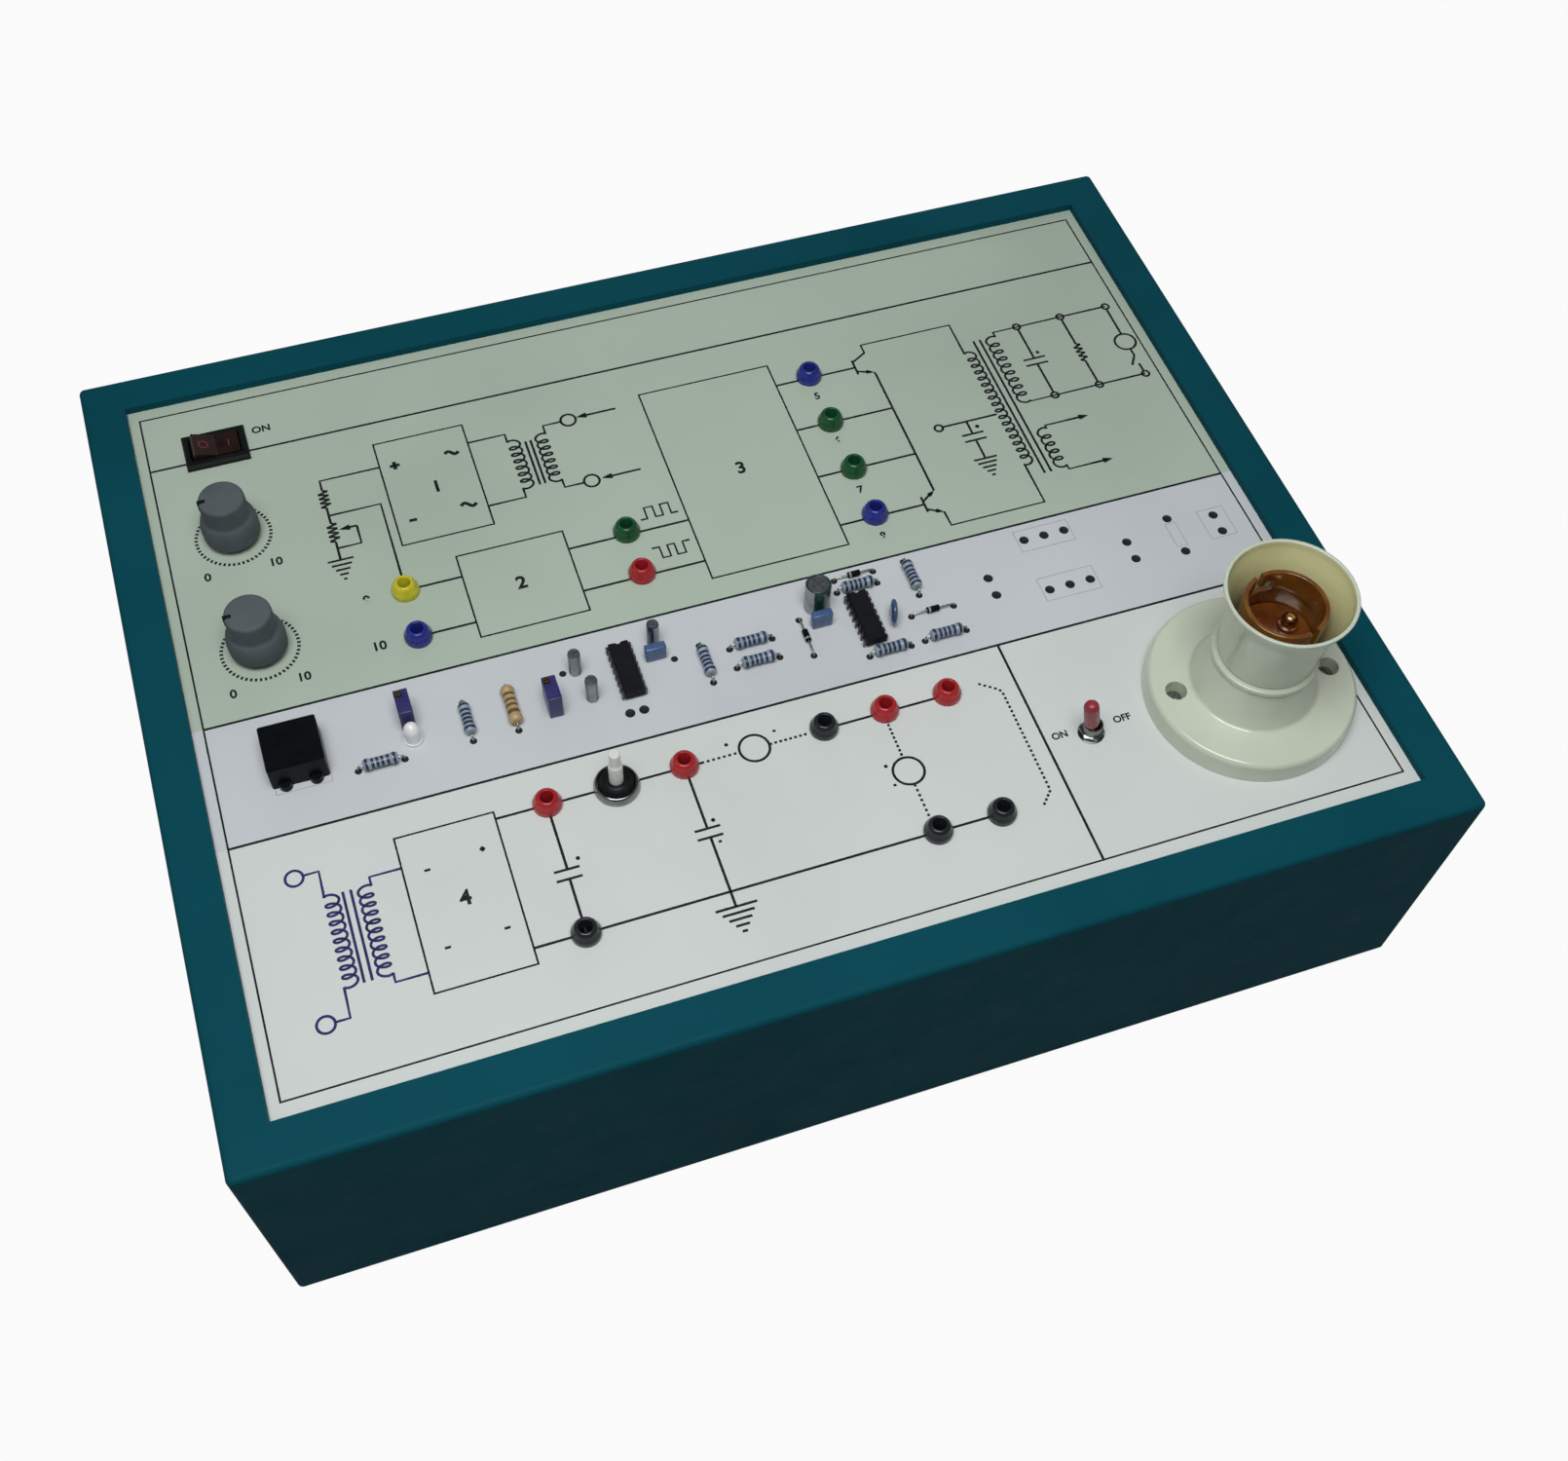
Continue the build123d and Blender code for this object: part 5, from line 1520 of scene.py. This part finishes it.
@dataclass
class LampHolder:
    """The bayonet lamp holder: base, screwed cup, brown barrel with hooked slots and two contacts.

    Attributes:
        x: X of its axis.
        y: Y of its axis.
        radius: Radius of the base. The next fields go up from there, a radius or a height each.
        turn: Direction of the contacts in degrees.
        contact_rise: How far a contact stands above the insert's face.
        screw_turn: Direction of the screws in degrees.
    """

    x: float = 139.2
    y: float = -86.8
    radius: float = 32.8
    deck: float = 8.0
    boss: float = 19.6
    neck: float = 15.7
    neck_top: float = 23.5
    cup: float = 15.0
    rim: float = 19.8
    rim_top: float = 52.0
    bore: float = 11.25
    barrel_wall: float = 1.4
    barrel_low: float = 22.0
    barrel_top: float = 46.5
    guide: float = 8.2
    slot_width: float = 2.6
    slot_depth: float = 8.0
    slot_turn: float = 22.0
    slot_steps: int = 4
    insert_low: float = 19.2
    insert_face: float = 32.0
    turn: float = 15.0
    contact_spread: float = 5.5
    contact: float = 2.4
    contact_rise: float = 5.0
    screw_spread: float = 25.0
    screw_turn: float = -7.0
    well: float = 3.4

    def base(self) -> None:
        """The moulded base with its two screw wells."""
        seat = self.bore + self.barrel_wall + 0.65
        body = turned("lamp_holder_base", 128, [
            (17.0, 0), (self.radius, 0, 0.3), (self.radius - 0.2, 6.9, 0.6),
            (self.radius - 1.2, self.deck, 0.6), (self.boss + 0.2, self.deck + 0.2, 1.2),
            (self.boss - 2.4, 16.5, 3.0), (self.neck + 0.2, 21.2, 0.6), (self.neck + 0.8, 21.9, 0.4),
            (self.neck + 0.7, self.neck_top, 0.6), (seat, self.neck_top), (seat, 19.0),
            (seat - 3.0, 19.0), (seat - 3.0, 6.0), (17.0, 6.0)], 7, ring=True)
        ends = [around(self.screw_turn, side * self.screw_spread) for side in (-1, 1)]
        carve(body, *[move(drum(self.well, 3.0, 12.0, 48), *end) for end in ends])
        mount(move(body, self.x, self.y, PANEL_Z), IVORY, "lamp_base")
        screws = []
        for number, (out, up) in enumerate(ends):
            head = turned("screw", 32, [(0, 3.02), (2.9, 3.02), (2.9, 4.0, 0.4), (1.6, 5.0, 0.8), (0.02, 5.2),
                                        (0, 5.2)])
            slot = brick("slot", (-4.0, -0.4, 4.3), (4.0, 0.4, 6.0))
            carve(head, move(slot, turn=spin("Z", 35 + 70 * number)))
            screws.append(move(head, self.x + out, self.y + up, PANEL_Z))
        mount(merged("lamp_holder_screws", screws), ZINC)

    def skirt(self) -> None:
        """The flared cup over the neck."""
        inner = self.bore + self.barrel_wall + 0.1
        low = self.neck_top
        mid = low + 11.0
        high = mid + 10.0
        body = turned("lamp_holder_cup", 128, [
            (inner, low + 0.02), (self.cup - 0.4, low + 0.02, 0.3), (self.cup, low + 0.8, 0.3),
            (self.cup + 0.7, mid, 4.0), (self.cup + 2.4, high, 4.0), (self.rim, self.rim_top - 1.0, 0.4),
            (self.rim, self.rim_top, 0.35), (self.rim - 1.1, self.rim_top, 0.35),
            (self.rim - 1.6, self.rim_top - 2.0, 0.5), (self.cup + 0.9, high, 4.0),
            (inner + 0.2, mid - 1.5)], 7, ring=True)
        dress(body, IVORY)
        paint_where(body, IVORY_INNER, lambda spot: spot.z < self.rim_top - 0.6, inward=True)
        mount(move(body, self.x, self.y, PANEL_Z), node="lamp_cup")

    def barrel(self) -> None:
        """The brown barrel with two hooked slots."""
        outer = self.bore + self.barrel_wall
        relief = self.bore + 0.5
        low, top = self.barrel_low, self.barrel_top
        tube = turned("lamp_holder_barrel", 96, [
            (relief, low), (outer + 0.6, low, 0.1), (outer + 0.6, low + 1.5, 0.1), (outer, low + 1.5),
            (outer, top, 0.35), (self.bore, top, 0.35), (self.bore, top - self.guide),
            (relief, top - self.guide)], ring=True)
        middle = self.bore + self.barrel_wall / 2
        half = self.slot_width / 2
        foot = top - self.slot_depth
        reaches = [(0, foot, top + 1)]
        for step in range(1, self.slot_steps + 1):
            rise = 1.6 if step == self.slot_steps else 0.0
            reaches.append((step, foot + 0.001 * step, foot + self.slot_width + rise))
        tools = []
        for start in (90 + self.turn, 270 + self.turn):
            for step, bottom, upper in reaches:
                cut = brick("cut", (middle - 2.8, -half, bottom), (middle + 2.8, half, upper))
                tools.append(move(cut, turn=spin("Z", start - self.slot_turn * step / self.slot_steps)))
        carve(tube, *tools)
        mount(move(tube, self.x, self.y, PANEL_Z), PHENOLIC, "lamp_barrel")

    def contacts(self) -> None:
        """The insert's face with two raised collars, and the sprung contacts."""
        face, pin = self.insert_face, self.contact
        top = face + self.contact_rise
        spots = {name: around(self.turn, side * self.contact_spread)
                 for side, name in ((-1, "left"), (1, "right"))}
        insert = turned("lamp_holder_insert", 64, [(0, self.insert_low), (self.bore + 0.2, self.insert_low),
                                                   (self.bore + 0.2, face, 0.3), (0.02, face), (0, face)], 3)
        carve(insert, *[move(drum(pin + 0.12, 22.0, face + 1.0), *spot) for spot in spots.values()])
        mount(move(insert, self.x, self.y, PANEL_Z), INSERT_BROWN, "lamp_insert")
        collars = []
        for name, (out, up) in spots.items():
            place = (self.x + out, self.y + up, PANEL_Z)
            collar = turned("collar", 40, [(pin + 0.08, face + 0.01), (pin + 1.1, face + 0.01, 0.1),
                                           (pin + 0.9, face + 1.2, 0.3), (pin + 0.08, face + 1.3)], 3,
                            ring=True)
            collars.append(move(collar, *place))
            stem = turned(f"lamp_contact_pin_{name}", 40, [
                (0, top - 9.0), (pin, top - 9.0), (pin, top - 1.3, 0.7), (pin - 1.0, top - 0.1, 0.8),
                (0.02, top), (0, top)], 5)
            node = f"lamp_contact_{name}"
            mount(move(stem, *place), BRASS, node, node)
        mount(merged("lamp_insert_collars", collars), INSERT_BROWN)

    def build(self) -> None:
        """Makes the holder."""
        self.base()
        self.skirt()
        self.barrel()
        self.contacts()


@dataclass
class Lying:
    """A kind of part that lies on its two leads.

    Attributes:
        radius: Radius of its body.
        length: Length of its body.
        spots: X, Y, lead span and turn in degrees of each such part.
    """

    radius: float
    length: float
    spots: Sequence[tuple[float, float, float, float]]
    lift: float = 0.4
    bend: float = 0.8

    def place(self, model: Piece) -> list[Piece]:
        """Lays copies of an upright model along the leads."""
        return copies(model, [(x, y, PANEL_Z + self.lift + self.radius, spin("Z", turn) @ spin("Y", 90))
                              for x, y, _, turn in self.spots])

    def ends(self) -> list[Point]:
        """Where the leads go into the panel."""
        return [(x + side * span / 2 * around(turn)[0], y + side * span / 2 * around(turn)[1])
                for x, y, span, turn in self.spots for side in (-1, 1)]

    def leads(self) -> list[tuple[Corners, bool]]:
        """The bent leads.

        Returns:
            Points of each lead, and that it is open.
        """
        axis = PANEL_Z + self.lift + self.radius
        bend = self.bend
        lines = []
        for x, y, span, turn in self.spots:
            for side in (-1, 1):
                near, far = side * (self.length / 2 - 0.3), side * span / 2
                shape = [(near, axis), (far - side * bend, axis),
                         (far - side * bend * 0.3, axis - bend * 0.3), (far, axis - bend),
                         (far, PANEL_Z - 0.2)]
                points = [(x + around(turn, out)[0], y + around(turn, out)[1], z) for out, z in shape]
                lines.append((points, False))
        return lines


@dataclass
class Strip:
    """The components on the printed strip."""

    blue: Lying = field(default_factory=lambda: Lying(1.9, 10.8, (
        (-123.7, -31.0, 14.2, 0), (-95.4, -23.7, 14.5, 90), (-19.1, -25.1, 14.8, 90), (-3.3, -22.0, 14.2, 0),
        (-3.3, -29.6, 14.2, 0), (54.8, -12.8, 14.4, 90), (36.6, -11.2, 13.9, 0), (38.1, -38.0, 14.1, 0),
        (57.1, -37.6, 14.2, 0))))
    tan: Lying = field(default_factory=lambda: Lying(2.2, 13.5, ((-81.3, -23.2, 16.4, 90),)))
    diode: Lying = field(default_factory=lambda: Lying(1.0, 4.2, (
        (14.3, -25.0, 14.5, 90), (37.1, -6.3, 13.5, 0), (56.6, -27.3, 14.6, 0))))
    wire: float = 0.3
    trimmer: tuple[float, float, float] = (4.4, 9.0, 10.0)
    trimmer_places: Sequence[Point] = ((-112.8, -17.0), (-68.8, -25.8))
    cans: Sequence[tuple[float, float, float, float, Finish, float]] = (
        (-59.0, -15.5, 2.0, 10.0, CAN_GREY, 250), (-56.6, -26.6, 2.0, 10.0, CAN_GREY, 262),
        (-32.6, -12.0, 2.0, 10.0, CAN_NAVY, 300), (21.6, -14.2, 4.2, 12.0, CAN_GREEN, 200),
    )
    film_places: Sequence[Point] = ((-33.6, -17.8), (20.6, -21.4))
    disc_place: Point = (42.9, -27.0)
    indicator: Point = (-112.5, -25.0)

    def banded(self, name: str, kind: Lying, ground: Finish, bands: Sequence[Point], band: Finish) -> Piece:
        """A resistor body with swollen ends and coloured bands.

        Args:
            name: Name of the piece.
            kind: The part that it is.
            ground: Finish of the body.
            bands: Start and end of each band along the length.
            band: Finish of the bands.

        Returns:
            The body, upright at the origin.
        """
        radius, half = kind.radius, kind.length / 2
        waist = radius * 0.88
        end = eased([(0.35, -half), (radius * 0.75, -half, 0.4), (radius, 0.9 - half, 0.6),
                     (radius, 1.9 - half, 0.5), (waist, 2.5 - half)])
        cuts = sorted({edge for edges in bands for edge in edges})
        middle = [(waist, cut) for cut in cuts if abs(cut) < half - 2.5]
        far = [(out, -z) for out, z in reversed([*end, middle[0]])]
        body = dress(turned(name, 28, [(0, -half), *end, *middle, *far, (0, half)]), ground)
        paint_where(body, band, lambda spot: spot.xy.length > 0.6
                    and any(low < spot.z < high for low, high in bands))
        return body

    def lying_parts(self) -> None:
        """The resistors and diodes, and all their leads as one piece."""
        kinds = (self.blue, self.tan, self.diode)
        leads = swept("part_wires", [line for kind in kinds for line in kind.leads()], self.wire, 2)
        mount(leads, TIN, "component_leads")
        bands = [(at - 0.45, at + 0.45) for at in (-4.2, -2.4, -0.9, 0.6, 2.3, 4.2)]
        blues = self.blue.place(self.banded("resistor", self.blue, RES_BLUE, bands, BAND_DARK))
        mount(merged("blue_resistors", blues), node="resistors")
        bands = [(-4.0, -2.6), (-1.4, -0.5), (0.6, 1.5), (2.8, 3.7)]
        tans = self.tan.place(self.banded("resistor", self.tan, RES_TAN, bands, BAND_BROWN))
        mount(merged("tan_power_resistor", tans), node="tan_resistor")
        radius, half = self.diode.radius, self.diode.length / 2
        low, high = 0.5 - half, 1.1 - half
        model = turned("diode", 24, [(0, -half), (0.3, -half), (radius, -half, 0.2), (radius, low),
                                     (radius, high), (radius, half, 0.2), (0.3, half), (0, half)], 3)
        dress(model, RELAY_BLACK)
        paint_where(model, BAND_PALE, lambda spot: low < spot.z < high and spot.xy.length > 0.6)
        mount(merged("strip_diodes", self.diode.place(model)), node="diodes")

    def can(self, radius: float, height: float, sleeve: Finish, stripe: float) -> Piece:
        """An electrolytic can: crimped sleeve, pale stripe and scored top.

        Args:
            radius: Its radius.
            height: Its height.
            sleeve: Finish of the sleeve.
            stripe: Direction of the stripe in degrees.

        Returns:
            The can, at the origin.
        """
        body = turned("can", 40, [
            (0, 0), (radius * 0.8, 0), (radius, 0.3, 0.2), (radius, 1.2, 0.2), (radius * 0.93, 1.6, 0.2),
            (radius, 2.0, 0.2), (radius, height - 0.5, 0.4), (radius * 0.88, height, 0.2),
            (radius * 0.82, height), (radius * 0.8, height - 0.25), (0.02, height - 0.2),
            (0, height - 0.2)])
        score = radius * 0.6
        carve(body, *[move(brick("score", (-score, -0.12, height - 0.45), (score, 0.12, height + 0.5)),
                           turn=spin("Z", turn)) for turn in (20, 110)])
        dress(body, sleeve)
        facing = Vector(around(stripe))
        paint_where(body, BAND_PALE, lambda spot: spot.xy.length > radius * 0.9
                    and 0.6 < spot.z < height - 0.4 and spot.xy.normalized().dot(facing) > 0.82)
        paint_where(body, CAN_TOP, lambda spot: spot.z > height - 0.6 and spot.xy.length < radius * 0.83)
        return body

    def capacitors(self) -> None:
        """The four upright cans, the two box capacitors and the disc."""
        made = [move(self.can(*sizes), x, y, PANEL_Z) for x, y, *sizes in self.cans]
        mount(merged("strip_cans", made), node="electrolytics")
        box = dress(brick("film", (-3.4, -1.4, 0.3), (3.4, 1.4, 6.3), 0.5, 3), FILM_BLUE)
        made = copies(box, [(x, y, PANEL_Z) for x, y in self.film_places])
        x, y = self.disc_place
        disc = turned("disc", 40, [(0, -1.1), (0.02, -1.1), (2.9, -1.0, 0.6), (4.1, -0.4, 0.5),
                                   (4.1, 0.4, 0.5), (2.9, 1.0, 0.6), (0.02, 1.1), (0, 1.1)])
        made.append(dress(move(disc, x, y, PANEL_Z + 5.0, spin("Z", -16) @ spin("Y", 90)), DISC_BLUE))
        lead = dress(drum(0.3, 0.0, 2.6, 12), TIN)
        made += copies(lead, [(x, y + side * 2.5, PANEL_Z) for side in (-1, 1)])
        mount(merged("strip_films", made), node="film_capacitors")

    def trimmers(self) -> None:
        """The two upright trimmers, with a bevelled case and a well round each screw."""
        width, depth, height = self.trimmer
        case = brick("trimmer", (-width / 2, -depth / 2, 0.3), (width / 2, depth / 2, height), 0.3, 3)
        carve(case, move(drum(1.2, height - 2.1, height + 1.0), -0.8, 2.8), smooth=30.0)
        made = copies(case, [(x, y, PANEL_Z) for x, y in self.trimmer_places])
        mount(merged("trimmer_cases", made), TRIM_BLUE, "trimmer_bodies")

    def lamp(self) -> None:
        """The clear indicator with its reflector inside."""
        lens = turned("indicator_lens", 48, [(0, 0), (2.88, 0.02), (2.88, 1.0, 0.1), (2.5, 1.0),
                                             (2.5, 6.1, 1.2), (1.5, 8.0, 1.2), (0.02, 8.58),
                                             (0, 8.58)], 7)
        cup = turned("indicator_reflector", 32, [(0.5, 1.4), (1.2, 1.4), (1.5, 4.6, 0.2), (1.1, 4.6, 0.1),
                                                 (0.5, 3.4)], 3, ring=True)
        mount(move(lens, *self.indicator, PANEL_Z), LED_CLEAR, "indicator_led")
        mount(move(cup, *self.indicator, PANEL_Z), LED_CHIP)

    def build(self) -> list[Point]:
        """Makes the strip's parts.

        Returns:
            Where leads go into the panel.
        """
        self.lying_parts()
        self.capacitors()
        self.trimmers()
        self.lamp()
        return [*self.blue.ends(), *self.tan.ends(), *self.diode.ends()]


def dress_nodes(nodes: dict[str, Piece]) -> None:
    """Gives the shown CAD nodes their finishes.

    Args:
        nodes: The frame's nodes by name.
    """
    for finish, names in CAD_FINISHES:
        material = finish.material()
        for name in names.split():
            node = nodes[name]
            if not node.material_slots:
                node.data.materials.append(material)
            for place in node.material_slots:
                place.material = material
            LOG.info("dressed %s", name)


@dataclass
class Studio:
    """Floor, light and camera. Places and lamp sizes are in metres, angles in degrees and powers in watts."""

    camera_place: tuple[float, float, float] = (-0.11603, -0.32978, 0.55394)
    camera_turn: tuple[float, float, float] = (31.430, -1.603, -18.692)
    lens: float = 40.472
    shift: Point = (0.01188, 0.03036)
    aim: tuple[float, float, float] = (0.0, 0.0, 0.08)
    lamps: Sequence[tuple[str, Sequence[float], Point, float]] = (
        ("key_lamp", (-0.12, -0.26, 0.98), (0.6, 0.45), 7.2),
        ("back_lamp", (0.5, 1.5, 0.9), (1.2, 0.8), 1.5),
        ("side_lamp", (-1.5, 0.1, 0.7), (0.8, 1.0), 0.8),
    )
    floor_size: float = 12.0
    floor_grey: float = 0.32
    floor_share: float = 0.95
    sky: Colour = (0.92, 0.96, 1.0)
    sky_light: float = 0.12
    sky_white: float = 0.97

    def camera(self) -> None:
        """Sets the camera up."""
        data = bpy.data.cameras.new("camera")
        data.lens = self.lens
        data.sensor_width = 36.0
        data.shift_x, data.shift_y = self.shift
        data.clip_start = 0.01
        holder = bpy.data.objects.new("camera", data)
        holder.location = self.camera_place
        holder.rotation_euler = [math.radians(angle) for angle in self.camera_turn]
        bpy.context.scene.collection.objects.link(holder)
        bpy.context.scene.camera = holder

    def light(self) -> None:
        """Hangs soft rectangular lamps that face the object."""
        for name, place, size, power in self.lamps:
            data = bpy.data.lights.new(name, "AREA")
            data.shape = "RECTANGLE"
            data.size, data.size_y = size
            data.energy = power
            holder = bpy.data.objects.new(name, data)
            holder.location = place
            holder.rotation_mode = "QUATERNION"
            holder.rotation_quaternion = (Vector(self.aim) - Vector(place)).to_track_quat("-Z", "Y")
            holder.visible_camera = False
            bpy.context.scene.collection.objects.link(holder)

    def floor(self) -> None:
        """A wide pale floor that looks white to the camera and still takes a shadow."""
        deselect()
        bpy.ops.mesh.primitive_plane_add(size=self.floor_size, location=(0, 0, 0))
        piece = bpy.context.active_object
        piece.name = "studio_floor"
        material = bpy.data.materials.new("studio_floor")
        material.use_nodes = True
        board = Board(material.node_tree, "OutputMaterial")
        matt = board.add("BsdfDiffuse", Color=(*[self.floor_grey] * 3, 1))
        glow = board.add("Emission", Color=(1, 1, 1, 1), Strength=1.0)
        board.show(matt.outputs[0], glow.outputs[0], self.floor_share)
        piece.data.materials.append(material)

    def world(self) -> None:
        """A grey surround for light, white where the camera sees it."""
        world = bpy.data.worlds.new("studio")
        bpy.context.scene.world = world
        world.use_nodes = True
        board = Board(world.node_tree, "OutputWorld")
        dim = board.add("Background", Color=(*self.sky, 1), Strength=self.sky_light)
        white = board.add("Background", Color=(1, 1, 1, 1), Strength=self.sky_white)
        board.show(dim.outputs[0], white.outputs[0], 1.0)

    def build(self) -> None:
        """Makes the studio."""
        self.camera()
        self.floor()
        self.world()
        self.light()
        bpy.context.scene.view_settings.view_transform = "Standard"


def main() -> None:
    """Builds the trainer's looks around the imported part."""
    logging.basicConfig(level=logging.INFO, format="%(message)s")
    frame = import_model()
    dress_nodes(frame["nodes"])
    Studio().build()
    Housing().build()
    CircuitPrint().build()
    Sockets().build()
    Knob("reference", -150.6, 70.2).build()
    Knob("frequency", -150.6, 22.8).build()
    PowerSwitch().build()
    Breaker().build()
    LampToggle().build()
    LampHolder().build()
    BareHoles().build(Strip().build())
    deselect()


if __name__ == "__main__":
    main()
